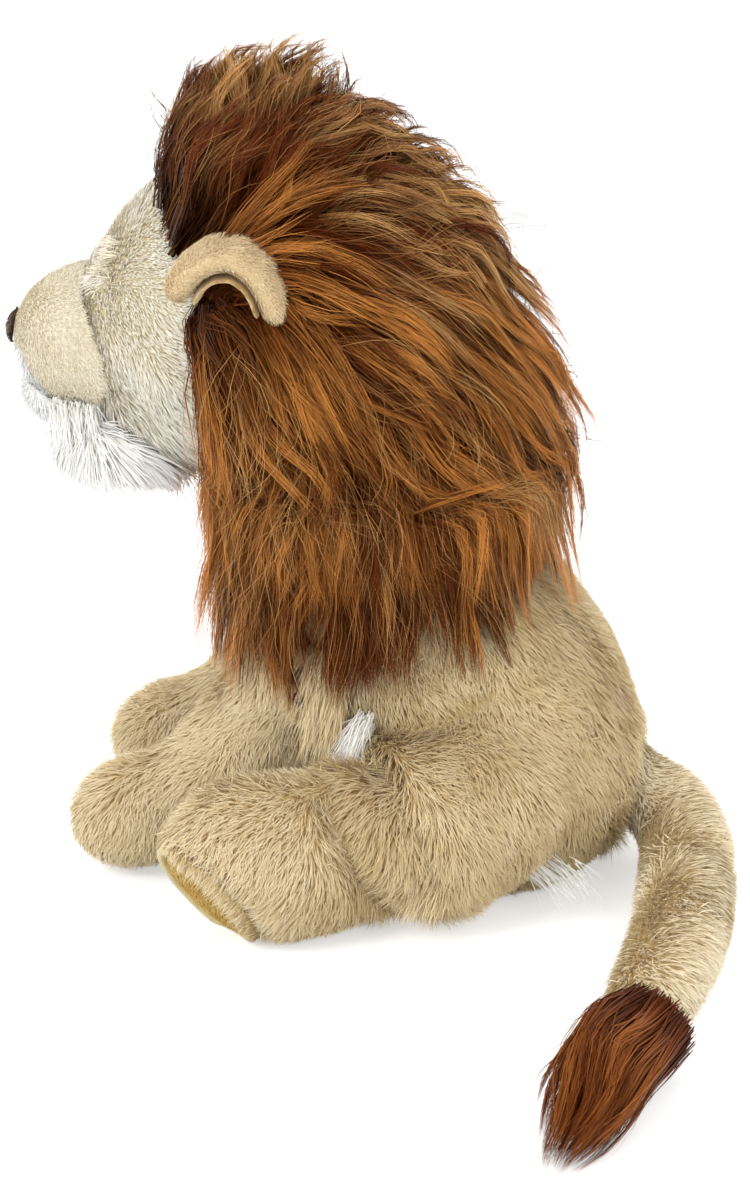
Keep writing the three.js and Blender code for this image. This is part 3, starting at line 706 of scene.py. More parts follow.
legCoat = dict(bodyCoat, share=lambda p: limbCoat["share"](p) + overSole(p)[0])
for side, half in sides.items():
    seed = 20 if side == "left" else 30
    frontLeg, hindLeg = side + "_front_leg", side + "_hind_leg"
    furCoat(side + "_torso_pile", covers["torso"], torsoCoat, torsoFlow, bodyTone,
            lambda p, n: torsoWanted(p, n) * (p[:, 0] * half > 0), tanPile, "torso", seed - 9)
    furCoat(frontLeg + "_pile", covers[frontLeg], limbCoat, armFlow, bodyTone,
            lambda p, n: 1.0 * (p[:, 2] > 3), tanPile, frontLeg, seed)
    furCoat(hindLeg + "_pile", covers[hindLeg], legCoat, legFlow, bodyTone,
            lambda p, n: 1.0 * ((p[:, 2] > 2) & (padGap(p, half) > 1)), tanPile, hindLeg, seed + 40)
furCoat("tail_pile", covers["tail"], bodyCoat, tailFlow, bodyTone, allOver, litTailPile, "tail", 50)
print("body pile grown")

faceLine = {"back": -92, "up": 222, "tilt": math.radians(32)}


def behindFace(p):
    # distance behind the plane where the face ends and the mane begins
    lean = faceLine["tilt"]
    return (p[..., 1] - faceLine["back"]) * math.cos(lean) + (p[..., 2] - faceLine["up"]) * math.sin(lean)


eyeAt = (19, -141, 238)
headCoat = {
    "spacing": 0.72, "length": 6.4, "rise": 40, "lie": 12, "clump": 3.4, "gather": 0.18,
    "halfWidth": 0.25, "mess": 0.18,
    "share": lambda p: (0.7 + 0.6 * smoothStep(212, 180, p[:, 2]) + 0.6 * smoothStep(176, 166, p[:, 2])
                        + 0.7 * smoothStep(15, 7, away(folded(p), eyeAt))),
}


def headFlow(p, n):
    # away from the nose, but forwards and up over the outer corners of the eyes
    flow = unit(p - np.array([0, -185, 215.0])) + np.array([0, 0, -0.25])
    outside = (smoothStep(16, 8, away(folded(p), eyeAt)) * smoothStep(17, 23, np.abs(p[:, 0])))[:, None]
    return mix(flow, np.array([0, -1.0, 0.15]), outside)


def headTone(p, n):
    # warmer on the cheeks
    warm = smoothStep(60, 15, away(folded(p), (40, -120, 215)))
    return 0.66 - 0.3 * warm + 0.1 * ripple(p, 20, 92)


furCoat("head_pile", covers["head"], headCoat, headFlow, headTone,
        lambda p, n: 1.0 * ((behindFace(p) < 9) & (p[:, 2] > 142)), creamPile, "head", 60)
browCoat = {
    "spacing": 0.6, "length": 9, "rise": 50, "lie": 30, "clump": 3, "gather": 0.2,
    "halfWidth": 0.24, "mess": 0.2,
}


def browWanted(p, n):
    # a crescent on the outer side of each eye
    apart = away(folded(p), eyeAt)
    return 1.0 * ((apart > 6) & (apart < 14) & (folded(p)[:, 0] > eyeAt[0] + 1) & (p[:, 2] > 231))


def browFlow(p, n):
    # towards a place in front of the eye's outer side
    place = np.array(eyeAt) + np.array([5, -5, 3])
    return unit(place * np.where(p[:, :1] > 0, [1, 1, 1], [-1, 1, 1]) - p)


furCoat("brow_pile", covers["head"], browCoat, browFlow,
        lambda p, n: headTone(p, n) - 0.3, browWanted, creamPile, "head", 64)


# Face, ears, soles and belly

def lipSide(p):
    # above zero on the white part, in front of and below a line down the side of the muzzle
    return np.minimum((198.6 - p[..., 2]) * 0.62 - (p[..., 1] + 168.3), 200 - p[..., 2])


velvetCoat = {
    "spacing": 0.62, "length": 1.7, "rise": 55, "lie": 25, "clump": 2.4, "gather": 0.25, "halfWidth": 0.2,
}
lipCoat = {
    "spacing": 0.7, "length": 3.0, "rise": 50, "lie": 20, "clump": 2.6, "gather": 0.3, "halfWidth": 0.24,
}


def muzzleShare(p):
    # not drawn in at the back, where it is sewn to the face
    return -0.6 + 1.6 * smoothStep(-136, -148, p[:, 1])


def noseTone(p, n):
    # dark patches low on both sides
    return 0.75 - 0.72 * smoothStep(206, 203, p[:, 2]) * smoothStep(3, 6, np.abs(p[:, 0]))


def muzzleTone(p, n):
    # darker low on both sides
    low = smoothStep(200, 182, p[:, 2]) * smoothStep(10, 24, np.abs(p[:, 0]))
    return 0.62 + 0.18 * ripple(p, 22, 93) - 0.4 * low


def velvetWanted(p, n):
    return 1.0 * (lipSide(p) <= 0)


faceParts = {
    # name: voxel, drawn in by, cloth, pile, coat, tone, where it grows, part of the drawing in
    "muzzle": (2.0, 1.2, velvetCloth, velvetPile, velvetCoat, muzzleTone, velvetWanted, muzzleShare),
    "chin": (1.6, -0.4, chinCloth, chinPile, lipCoat, muzzleTone, allOver, None),
    "nose": (1.2, 0.6, noseCloth, nosePile, velvetCoat, noseTone, allOver, None),
}


def paintLips(skin):
    # the front of the muzzle's cover is of the chin's white cloth
    skin.data.materials.append(chinCloth)
    middles = np.empty(len(skin.data.polygons) * 3, np.float32)
    skin.data.polygons.foreach_get("center", middles)
    white = lipSide(middles.reshape(-1, 3) / mm) > 0
    skin.data.polygons.foreach_set("material_index", white.astype(np.int32))


for name, (voxel, inset, cloth, pile, coat, tone, wanted, share) in faceParts.items():
    skin = cover(name + "_cover", [name], voxel, inset, 4, cloth, "head", share)
    if name == "muzzle":
        paintLips(skin)
        furCoat("lip_pile", skin, lipCoat, headFlow, muzzleTone,
                lambda p, n: 1.0 * (lipSide(p) > 0), chinPile, "head", 78)
    furCoat(name + "_pile", skin, coat, headFlow, tone, wanted, pile, "head", 70 + len(name))

for side in sides:
    earName, hindLeg = side + "_ear", side + "_hind_leg"
    ear = cover(earName + "_cover", [earName], 1.6, 0.3, 4, earCloth, earName)
    furCoat(earName + "_pile", ear, velvetCoat, oneWay(0, 1.0, -0.6), mottled(0.5, 0.25, 18, 94),
            allOver, earPile, earName, 81)
    lining = cover(earName + "_lining_cover", [earName + "_lining"], 1.2, 0.3, 3, liningCloth, earName)
    sole = cover(side + "_sole_cover", [side + "_sole_pad"], 1.6, 0.4, 3, soleCloth, hindLeg)
    furCoat(side + "_sole_pile", sole, velvetCoat, oneWay(0.2, 0, -1.0), mottled(0.5, 0.25, 14, 95),
            allOver, solePile, hindLeg, 84)

pipingTube = {"radius": 1.5, "beyond": 0.8, "steps": 56, "sides": 8}


def piping(name, half, body):
    # a round tube carried along the pad's oval edge, and level with the floor where it would pass it:
    # P(s, t) = edge(s) + r cos t out(s) + r sin t up
    across, along, out = soleWays(half)
    turn = np.linspace(0, 2 * math.pi, pipingTube["steps"], endpoint=False)[:, None]
    ring = np.linspace(0, 2 * math.pi, pipingTube["sides"], endpoint=False)[None, :, None]
    edge = (across * np.cos(turn) * (soleDisc["halfWidth"] + pipingTube["beyond"])
            + along * np.sin(turn) * (soleDisc["halfLength"] + pipingTube["beyond"]))
    centre = soleMiddle(half) + edge - out * 0.3
    radius = pipingTube["radius"]
    centre[:, 2] = np.maximum(centre[:, 2], radius + 0.4)
    points = centre[:, None] + radius * (np.cos(ring) * unit(edge)[:, None] + np.sin(ring) * out)
    i, j = np.meshgrid(np.arange(points.shape[0]), np.arange(points.shape[1]), indexing="ij")
    around = points.shape[1]
    a, b = i * around, (i + 1) % points.shape[0] * around
    corners = np.stack([a + j, b + j, b + (j + 1) % around, a + (j + 1) % around], -1)
    mesh = bpy.data.meshes.new(name)
    fillMesh(mesh, points.reshape(-1, 3), corners.ravel(), np.full(i.size, 4))
    bm = bmesh.new()
    bm.from_mesh(mesh)
    bmesh.ops.recalc_face_normals(bm, faces=bm.faces)
    bm.to_mesh(mesh)
    bm.free()
    mesh.materials.append(pipingCloth)
    tube = link(name, mesh)
    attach(tube, body)


def edgePile(name, half, body):
    # tan pile rooted along the pad's outer and upper edge, leaning over the pad: the edge is
    # c + a cos t + b sin t, and a strand goes out of the sole and then back towards c
    rng = np.random.default_rng(92)
    count = 1400
    across, along, out = soleWays(half)
    turn = rng.uniform(-0.9, 1.9, count)
    aside = (half * np.cos(turn))[:, None] * across * (soleDisc["halfWidth"] + 1)
    radial = aside + np.sin(turn)[:, None] * along * (soleDisc["halfLength"] + 1)
    roots = soleMiddle(half) + radial * rng.uniform(0.96, 1.1, (count, 1))
    roots = roots - out * rng.uniform(0, 3, (count, 1))
    start = unit(out - 0.1 * unit(radial) + rng.normal(0, 0.2, (count, 3)))
    end = unit(0.5 * out - unit(radial) + rng.normal(0, 0.3, (count, 3)))
    fade = smoothStep(-0.9, -0.3, turn) * smoothStep(1.9, 1.3, turn)
    lines = bent(roots, rng.uniform(5, 9, count) * (0.5 + 0.5 * fade), start, end, 3)
    faceOut = np.broadcast_to(out, lines.shape)
    halfWidths = 0.27 * rng.uniform(0.7, 1.2, (count, 1)) * np.linspace(1, 0.4, 3)
    pile = ribbons(name, lines, faceOut, halfWidths, rng.uniform(0.5, 0.95, count), tanPile)
    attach(pile, body)


for side, half in sides.items():
    piping(side + "_sole_piping", half, side + "_hind_leg")
for side, half in sides.items():
    edgePile(side + "_sole_edge_pile", half, side + "_hind_leg")

bellyCoat = {
    "spacing": 1.3, "length": 15, "rise": 60, "lie": 20, "clump": 5, "gather": 0.5, "halfWidth": 0.4,
    "steps": 3,
}
furCoat("belly_pile", bellyCover, bellyCoat, oneWay(0, -0.2, -1.0), mottled(0.6, 0.2, 20, 96),
        lambda p, n: 1.0 * (n[:, 1] < 0.3), whitePile, "torso", 86)

tuftPlaces = {
    # name: middle, half sizes, direction, lengths, count
    "side_tuft": ((61, -35, 77), (4, 3, 4), (0.15, -0.5, -0.85), (13, 24), 300),
    "rump_tuft": ((58, 34, 21), (6, 11, 4), (0.15, 0.8, -0.45), (9, 16), 100),
    "underarm_pile": ((55, -50, 88), (5, 7, 16), (0.5, -0.2, -0.8), (9, 15), 1100),
    "thigh_pile": ((84, -8, 34), (4, 7, 14), (0.7, -0.4, -0.6), (8, 13), 900),
    "jaw_pile": ((22, -148, 182), (9, 9, 3), (0.15, 0.2, -1.0), (9, 15), 700),
}


def looseTuft(name, spot, half, seed):
    # a tuft of long fur, tan by the limbs and white elsewhere. Each strand bends from its own
    # heading towards straight down: P(s) = root + L(s a + s^2 b / 3)
    middle, size, heading, reach, count = tuftPlaces[spot]
    material = tanPile if spot in ("underarm_pile", "thigh_pile") else whitePile
    mirror = np.array([half, 1, 1])
    rng = np.random.default_rng(seed)
    roots = (np.array(middle) + rng.uniform(-1, 1, (count, 3)) * size) * mirror
    start = unit(unit(np.array(heading, float)) * mirror + rng.normal(0, 0.2, (count, 3)))
    length = rng.uniform(*reach, count)[:, None, None]
    s = np.linspace(0, 1, 5)[None, :, None]
    lines = roots[:, None] + length * (s * start[:, None] + s * s / 3 * np.array([0, 0, -1.0]))
    faceOut = unit(np.array([half, 0, 0.4]) + rng.normal(0, 0.4, (count, 1, 3))) + 0 * lines
    halfWidths = 0.24 * rng.uniform(0.7, 1.2, (count, 1)) * np.linspace(1, 0.4, 4)
    tuft = ribbons(name, lines, faceOut, halfWidths, rng.uniform(0.4, 0.95, count), material)
    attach(tuft, "head" if spot == "jaw_pile" else "torso")


for side, half in sides.items():
    for k, spot in enumerate(tuftPlaces):
        looseTuft(side + "_" + spot, spot, half, 88 + k)

beardSkin = cover("beard_cover", ["beard"], 3, 0.8, 4, whiteBacking, "head")
beardCoat = {
    "spacing": 1.0, "length": 17, "rise": 20, "lie": -6, "clump": 5, "gather": 0.4, "halfWidth": 0.34,
    "steps": 4,
}
furCoat("beard_pile", beardSkin, beardCoat, oneWay(0, 0.35, -1.0), mottled(0.65, 0.2, 16, 97),
        lambda p, n: 1.0 * (n[:, 2] < 0.9), whitePile, "head", 87)
print("face, ears, soles and belly made")


# Mane

hoodOval = ((0, -66, 206), (80, 77, 83))
crestOval = ((0, -86, 268), (48, 34, 34))
napeOval = ((0, -36, 178), (74, 64, 62))
capeShape = {"halfWidth": 79, "halfDepth": 65, "middle": -37, "top": 168}
skullOval = ((0, -90, 217), (58, 59, 58))


def capeDepth(p):
    # a column squarer than an oval: the cube root of the sum of the cubes of both offsets,
    # each over its half size
    across = np.abs(p[..., 0]) / capeShape["halfWidth"]
    back = np.abs(p[..., 1] - capeShape["middle"]) / capeShape["halfDepth"]
    reach = np.cbrt(across ** 3 + back ** 3)
    return np.maximum((reach - 1) * capeShape["halfDepth"], p[..., 2] - capeShape["top"])


def shoulderDepth(p):
    # distance to the outside of the hair on the shoulders
    return softUnion(ovalDepth(p, *napeOval), capeDepth(p), 12)


def maneDepth(p):
    # distance to the outside of the whole mane: hood, crest and shoulders run into each other
    head = softUnion(ovalDepth(p, *hoodOval), ovalDepth(p, *crestOval), 14)
    return softUnion(head, shoulderDepth(p), 10)


def outOf(depth, p):
    # the outward direction: how the distance changes over 1 mm along each axis
    return unit(np.stack([depth(p + step) - depth(p - step) for step in np.eye(3)], -1))


def sink(depth, start, ways, deep, core=None):
    # the point on each ray from start where the outside is deep away, or where the ray leaves
    # the core if that comes later, by halving
    low, high = np.zeros(len(ways)), np.full(len(ways), 140.0)
    for _ in range(24):
        half = (low + high) / 2
        place = start + ways * half[:, None]
        inside = depth(place) < -deep
        if core:
            inside |= ovalDepth(place, *core) < -1
        low, high = np.where(inside, half, low), np.where(inside, high, half)
    return start + ways * low[:, None]


# the hair's heading round the ear, seen from the left, degrees from the back and up
partAt = (-88, 236)
placeTurns = [-180, -125, -90, -60, -30, -10, 5, 20, 35, 50, 70, 90, 120, 150, 180]
hairTurns = [-94, -91, -84, -67, -50, -36, -24, -8, 16, 42, 60, 72, 82, 90, 96]


def maneFront(p):
    # distance behind the mane's front edge: the face's plane above, and a level line below
    return np.where(p[..., 2] > 223, behindFace(p), p[..., 1] + 93)


def maneHeading(p, bend):
    # read from the table round the ear. Hair over the ear's front leans back more, and low hair hangs
    up, back = p[..., 2] - partAt[1], p[..., 1] - partAt[0]
    around = np.degrees(np.arctan2(up, back))
    turn = np.interp(around, placeTurns, hairTurns)
    turn = turn - 24 * smoothStep(80, 120, around) * smoothStep(45, 18, np.hypot(up, back))
    hang = 0.85 * smoothStep(188, 125, p[..., 2]) * (around < 60)
    flare = 20 * smoothStep(-30, 20, p[..., 1]) * smoothStep(150, 125, p[..., 2])
    turn = np.radians(mix(turn, -88 + flare, hang) + bend)
    return np.stack([0 * turn, np.cos(turn), np.sin(turn)], -1)


earArch = [(-101, 237), (-98.7, 244.6), (-90.4, 252.7), (-79.7, 255), (-69.8, 247.8), (-63, 230.3)]


def earGap(p):
    # distance to the padded arch of the ear on either side
    return np.maximum(lineGap(p[..., 1:], earArch, 6.5), np.abs(np.abs(p[..., 0]) - 63) - 18)


def growLocks(depth, roots, lengths, tipDepth, wave, wild, seed, steps=8):
    # guides of the locks. Each step goes along the hair's heading laid onto the mane's outside,
    # or straight along it where it stands out, and moves towards the depth wished for there
    start = -depth(roots)
    place = roots.copy()
    guides, outs = [place.copy()], [outOf(depth, place)]
    phase = ripple(roots, 60, seed) * 3 + ripple(roots, 18, seed + 1) * 2
    rng = np.random.default_rng(seed + 2)
    own = rng.normal(0, wild, len(roots)) + 14 * ripple(roots, 26, seed + 3)
    loose = np.maximum(smoothStep(238, 262, roots[:, 2]), rng.random(len(roots)) < 0.4)[:, None]
    pace = lengths / steps
    for k in range(steps):
        s = (k + 1) / steps
        bend = own + wave * np.sin(phase + s * 5.2)
        out = outOf(depth, place)
        heading = maneHeading(place, bend)
        heading[:, 1] += np.clip(-maneFront(place) / 4 + 0.5, 0, 1.5)
        heading = unit(heading)
        facing = (heading * out).sum(-1, keepdims=True)
        laid = unit(heading - out * facing + 1e-6)
        way = unit(mix(laid, heading, smoothStep(0.6, 0.92, facing) * (0.25 + 0.75 * loose)))
        wish = mix(start, tipDepth, s ** 0.7)
        climb = np.clip((-depth(place) - wish) / pace, -0.5, 0.85)[:, None]
        way = unit(way * np.sqrt(1 - climb ** 2) + out * climb)
        place = place + way * pace[:, None]
        guides.append(place.copy())
        outs.append(outOf(depth, place))
    # neighbouring locks lean together into larger ones of one shade
    cells = (roots + 5 * ripples(roots, 50, seed + 4)) / 13
    guides, group = gatherTips(np.stack(guides, 1), cells, 0.6)
    shade = np.random.default_rng(seed + 7).normal(0, 0.18, group.max() + 1)[group]
    return guides, np.stack(outs, 1), shade


def combHair(guides, outs, lock, tone, seed):
    # hair round the guides: each strand starts beside its lock's guide and closes on it
    # towards the tip, with a share of strays that stay apart. Its length is a share of the guide's
    rng = np.random.default_rng(seed)
    locks, steps = guides.shape[0], guides.shape[1] - 1
    count = locks * lock["strands"]
    mine = np.repeat(np.arange(locks), lock["strands"])
    segments = lock["segments"]
    reach = rng.uniform(0.7, 1.04, count)
    t = np.clip(np.arange(segments + 1)[None] / segments * reach[:, None], 0, 1) * steps
    low = np.minimum(t.astype(int), steps - 1)
    part = (t - low)[..., None]
    lines = mix(guides[mine[:, None], low], guides[mine[:, None], low + 1], part)
    out = unit(mix(outs[mine[:, None], low], outs[mine[:, None], low + 1], part))
    along = unit(np.gradient(lines, axis=1))
    across = unit(np.cross(along, out))
    s = (np.arange(segments + 1) / segments)[None, :, None]
    stray = (rng.random(count) < lock["strays"])[:, None, None]
    close = np.where(stray, 0.25, lock["gather"]) * s ** 0.8
    aside = rng.normal(0, lock["spread"], (count, 1, 1))
    deep = rng.normal(0, lock["spread"] * 0.4, (count, 1, 1))
    phase = rng.uniform(0, 6.3, (count, 1, 1))
    curl = np.where(stray, 2.2, 0.7) * lock["frizz"] * s * np.sin(phase + 4 * s)
    fan = rng.normal(0, 1, (count, 1, 1)) * np.where(stray, 5.0, 1.2) * s * s
    lines = lines + across * (aside * (1 - close) + curl + fan) + out * (deep * (1 - close) + curl * 0.5)
    turn = rng.normal(0, 0.6, (count, 1, 1))
    faceOut = out * np.cos(turn) + across * np.sin(turn)
    taper = 1 - 0.8 * (np.arange(segments) / segments) ** 1.6
    halfWidths = lock["halfWidth"] * rng.uniform(0.6, 1.25, (count, 1)) * taper
    # strands deep inside their lock are darker: painted shade
    shade = tone[mine] + rng.normal(0, lock["mottle"], count) + 0.4 * deep.ravel() / lock["spread"]
    return lines, faceOut, halfWidths, np.clip(shade, 0.01, 0.99)


hairLock = {
    "strands": 32, "segments": 5, "spread": 2.7, "gather": 0.92, "strays": 0.14, "frizz": 1.1,
    "halfWidth": 0.21, "mottle": 0.16,
}
flyLock = {
    "strands": 6, "segments": 7, "spread": 3.4, "gather": 0.3, "strays": 0.5, "frizz": 2.2,
    "halfWidth": 0.13, "mottle": 0.2,
}


def evenWays(count, firstTurn):
    # directions spread evenly over a ball: equal steps of height, turned by the golden angle
    k = np.arange(count)
    z = 1 - 2 * (k + 0.5) / count
    turn = k * goldenAngle + firstTurn
    flat = np.sqrt(1 - z * z)
    return np.stack([flat * np.cos(turn), flat * np.sin(turn), z], -1)


def hairPiece(name, hair, body, node, material=maneHair, picked=slice(None)):
    lines, faceOut, halfWidths, shade = hair
    piece = ribbons(name, lines[picked], faceOut[picked], halfWidths[picked], shade[picked], material)
    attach(piece, body)
    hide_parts(node)


def hollow(p):
    # the hollow behind the curtain of hair in front, on both sides, where the hair gets painted shade: 1 in
    # its middle
    apart = (p[..., 1:] - np.array([-40, 132])) / np.array([16, 34])
    return np.exp(-(apart ** 2).sum(-1)) * (np.abs(p[..., 0]) > 30)


headHair = {
    "from": (0, -76, 214), "rootDepth": 17, "lowest": 160, "length": (50, 76), "crownLength": (36, 52),
    # directions tried, of which about half meet the mane
    "lockWays": 2700, "wispWays": 900,
}


def crownShare(p):
    return smoothStep(240, 265, p[:, 2])


def headRoots(count, firstTurn):
    # roots on the head: even directions from a point inside it
    origin = np.array(headHair["from"], float)
    roots = sink(maneDepth, origin, evenWays(count, firstTurn), headHair["rootDepth"], skullOval)
    return roots[(maneFront(roots) > 0) & (roots[:, 2] > headHair["lowest"]) & (earGap(roots) > 0)]


def headLengths(rng, roots):
    count = len(roots)
    longer = 26 * rng.random(count) * smoothStep(205, 180, roots[:, 2])
    return mix(rng.uniform(*headHair["length"], count) + longer,
               rng.uniform(*headHair["crownLength"], count), crownShare(roots))


def placeTone(p):
    # darker above the ear, painted shade in the hollow, and paler in front, low at the back and on the crown
    apart = (p[..., 1:] - np.array([-84, 250])) / np.array([32, 16])
    front = smoothStep(-66, -86, p[..., 1]) * (p[..., 2] < 225)
    back = 0.2 * smoothStep(-30, 10, p[..., 1]) - 0.06
    top = 0.4 * smoothStep(268, 292, p[..., 2])
    return 0.32 * front + back + top - 1.2 * np.exp(-(apart ** 2).sum(-1)) - 1.1 * hollow(p)


roots = headRoots(headHair["lockWays"], 0.3)
rng = np.random.default_rng(402)
count = len(roots)
behind = smoothStep(-45, -5, roots[:, 1])
wild = rng.random(count) < 0.2 + 0.12 * crownShare(roots) + 0.1 * behind
lifted = rng.uniform(-10, -2, count) - 4 * (1 - crownShare(roots)) - 6 * behind
tipDepth = np.where(wild, lifted, rng.uniform(-2, 12, count))
guides, outs, shade = growLocks(maneDepth, roots, headLengths(rng, roots), tipDepth, 20, 11, 410)
tone = 0.34 + 0.14 * ripple(roots, 30, 411) + rng.normal(0, 0.33, count)
# locks whose tips lie deeper in the mane are darker: painted shade
tone = tone - 0.03 * tipDepth + shade + placeTone(roots)
hair = combHair(guides, outs, hairLock, tone, 412)
mine = np.repeat(roots, hairLock["strands"], axis=0)
print("head locks", count)
top = mine[:, 2] > 244
left = mine[:, 0] > 0
front = mine[:, 1] < -52
for name, picked in (("mane_crown_left", top & left), ("mane_crown_right", top & ~left)):
    hairPiece(name, hair, "head", "mane_crest", crownHair, picked)
for name, picked in (("mane_left", ~top & left & front), ("mane_right", ~top & ~left & front),
                     ("mane_back_left", ~top & left & ~front), ("mane_back_right", ~top & ~left & ~front)):
    hairPiece(name, hair, "head", "mane_hood", maneHair, picked)

# hair that comes out under the ears, from a small box on each side
underEarHair = {"locks": 120, "low": (56, -93, 233), "high": (68, -74, 243), "length": (60, 80)}
rng = np.random.default_rng(441)
count = underEarHair["locks"]
half = np.where(np.arange(count) % 2 == 0, 1, -1)
spans = zip(underEarHair["low"], underEarHair["high"])
roots = np.stack([rng.uniform(*span, count) for span in spans], -1)
roots[:, 0] *= half
length = rng.uniform(*underEarHair["length"], count)
guides, outs, shade = growLocks(maneDepth, roots, length, rng.uniform(-3, 4, count), 8, 6, 442)
hair = combHair(guides, outs, hairLock, 0.36 + shade + rng.normal(0, 0.2, count), 443)
hairPiece("mane_under_ears", hair, "head", "mane_hood")

# single hairs that cross the others
roots = headRoots(headHair["wispWays"], 1.1)
rng = np.random.default_rng(451)
count = len(roots)
tipDepth = rng.uniform(-9, -1, count) - 4 * (1 - crownShare(roots))
guides, outs, shade = growLocks(maneDepth, roots, headLengths(rng, roots), tipDepth, 24, 24, 452)
hair = combHair(guides, outs, flyLock, 0.5 + rng.normal(0, 0.25, count) + 0.6 * placeTone(roots), 453)
hairPiece("mane_wisps", hair, "head", "mane_hood", crownHair)


capeHair = {
    "locks": 1300, "wisps": 420, "length": (50, 72), "rootDepth": 15,
    "top": 182,  # roots are no higher
    "rows": 78,  # the tips end up to this far above the hem
}


def capeRoots(rng, lengths):
    # roots round the shoulders, so high that the tips of hanging hair end in rows above the hem
    count = len(lengths)
    turn = np.arange(count) * goldenAngle
    row = rng.random(count)
    ways = unit(np.stack([np.cos(turn) * 1.2, np.sin(turn), 0 * turn], -1))
    tipUp = hemHeight(capeShape["middle"] + 62 * ways[:, 1]) + capeHair["rows"] * row ** 1.3 - 6
    up = np.minimum(tipUp + rng.normal(0, 4, count) + lengths * 0.93, capeHair["top"])
    start = np.stack([0 * turn, capeShape["middle"] + 0 * turn, up], -1)
    return sink(shoulderDepth, start, ways, capeHair["rootDepth"]), row


rng = np.random.default_rng(421)
length = rng.uniform(*capeHair["length"], capeHair["locks"])
roots, row = capeRoots(rng, length)
deeper = hollow(roots - np.array([0, 0, 20]))
tipDepth = mix(6, -2, row) + rng.normal(0, 3, len(roots)) + 6 * deeper
guides, outs, shade = growLocks(shoulderDepth, roots, length, tipDepth, 12, 8, 430)
# locks whose tips lie deeper in the mane are darker: painted shade
tone = 0.4 + 0.14 * ripple(roots, 30, 431) + rng.normal(0, 0.33, len(roots)) - 0.03 * tipDepth + shade
tone += placeTone(roots - np.array([0, 0, 20]))
hair = combHair(guides, outs, hairLock, tone, 432)
mine = np.repeat(roots, hairLock["strands"], axis=0)
for name, picked in (("mane_cape_left", mine[:, 0] > 0), ("mane_cape_right", mine[:, 0] <= 0)):
    hairPiece(name, hair, "torso", "mane_cape", maneHair, picked)

# single hairs that stand off the shoulders
rng = np.random.default_rng(461)
length = rng.uniform(*capeHair["length"], capeHair["wisps"])
roots, row = capeRoots(rng, length)
tipDepth = rng.uniform(-12, -2, len(roots))
guides, outs, shade = growLocks(shoulderDepth, roots, length, tipDepth, 18, 16, 462)
tone = 0.5 + rng.normal(0, 0.25, len(roots)) + 0.6 * placeTone(roots - np.array([0, 0, 20]))
hair = combHair(guides, outs, flyLock, tone, 463)
hairPiece("cape_wisps", hair, "torso", "mane_cape", crownHair)
print("mane grown")


def backing(name, points, body):
    # a grid of points closed round its first direction, one face between four neighbours
    rows, columns = points.shape[:2]
    i, j = np.meshgrid(np.arange(rows - 1), np.arange(columns), indexing="ij")
    k = (j + 1) % columns
    corners = np.stack([i * columns + j, i * columns + k, (i + 1) * columns + k, (i + 1) * columns + j], -1)
    mesh = bpy.data.meshes.new(name)
    fillMesh(mesh, points.reshape(-1, 3), corners.ravel(), np.full((rows - 1) * columns, 4))
    mesh.materials.append(maneBacking)
    piece = link(name, mesh)
    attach(piece, body)


# under the hair of the shoulders, from above the hem to the highest roots
turn = np.linspace(0, 2 * math.pi, 64, endpoint=False)
high = np.linspace(0, 1, 16)[:, None]
ways = unit(np.stack([np.cos(turn) + 0 * high, np.sin(turn) + 0 * high, 0 * turn + 0 * high], -1))
rowY = capeShape["middle"] + 52 * ways[..., 1]
level = mix(hemHeight(rowY) + 36, capeHair["top"] + 0 * rowY, high)
start = np.stack([0 * level, capeShape["middle"] + 0 * level, level], -1)
flat = sink(shoulderDepth, start.reshape(-1, 3), ways.reshape(-1, 3), 17)
backing("mane_cape_backing", flat.reshape(start.shape), "torso")


def hoodPoints(lean, turn):
    # points of the hood's backing, by the angle from the back and the turn round it. They lie at the
    # hair's roots, and on the skull at the ears
    ways = np.stack([np.sin(lean) * np.cos(turn), np.cos(lean), np.sin(lean) * np.sin(turn)], -1)
    origin = np.array(headHair["from"], float)
    flat = ways.reshape(-1, 3)
    points = sink(maneDepth, origin, flat, 18, skullOval)
    nearEar = smoothStep(38, 24, away(folded(points), (66, -82, 240)))
    deep = 18 + 16 * nearEar + 20 * smoothStep(245, 275, points[:, 2])
    return sink(maneDepth, origin, flat, deep, skullOval).reshape(ways.shape)


# under the hair of the head: at each turn it ends where the mane does, found by halving
turn = np.linspace(0, 2 * math.pi, 72, endpoint=False)
low, high = np.full(len(turn), 0.1), np.full(len(turn), 2.4)
for _ in range(18):
    half = (low + high) / 2
    points = hoodPoints(half, turn)
    inside = (maneFront(points) > 3) & (points[:, 2] > headHair["lowest"])
    low, high = np.where(inside, half, low), np.where(inside, high, half)
shares = np.linspace(0.02, 1, 24)[:, None]
backing("mane_hood_backing", hoodPoints(shares * low, turn + 0 * shares), "head")
print("mane backing made")


# Tail tuft

tuftShape = {
    "locks": 90,
    "path": [(163, 77, 17), (184, 69, 18), (206, 62, 17), (226, 58, 12), (243, 52, 6)],
    "radii": [14.5, 17.5, 17, 12.5, 5],
}
tuftLock = {
    "strands": 44, "segments": 6, "spread": 2.6, "gather": 0.92, "strays": 0.12, "frizz": 1.0,
    "halfWidth": 0.22, "mottle": 0.18,
}
rng = np.random.default_rng(501)
count = tuftShape["locks"]
path = np.array(tuftShape["path"], float)
radii = np.array(tuftShape["radii"], float)
turn = np.arange(count) * goldenAngle
share = np.sqrt((np.arange(count) + 0.5) / count)
s = np.linspace(0, 1, 9)
knots = np.linspace(0, 1, len(path))
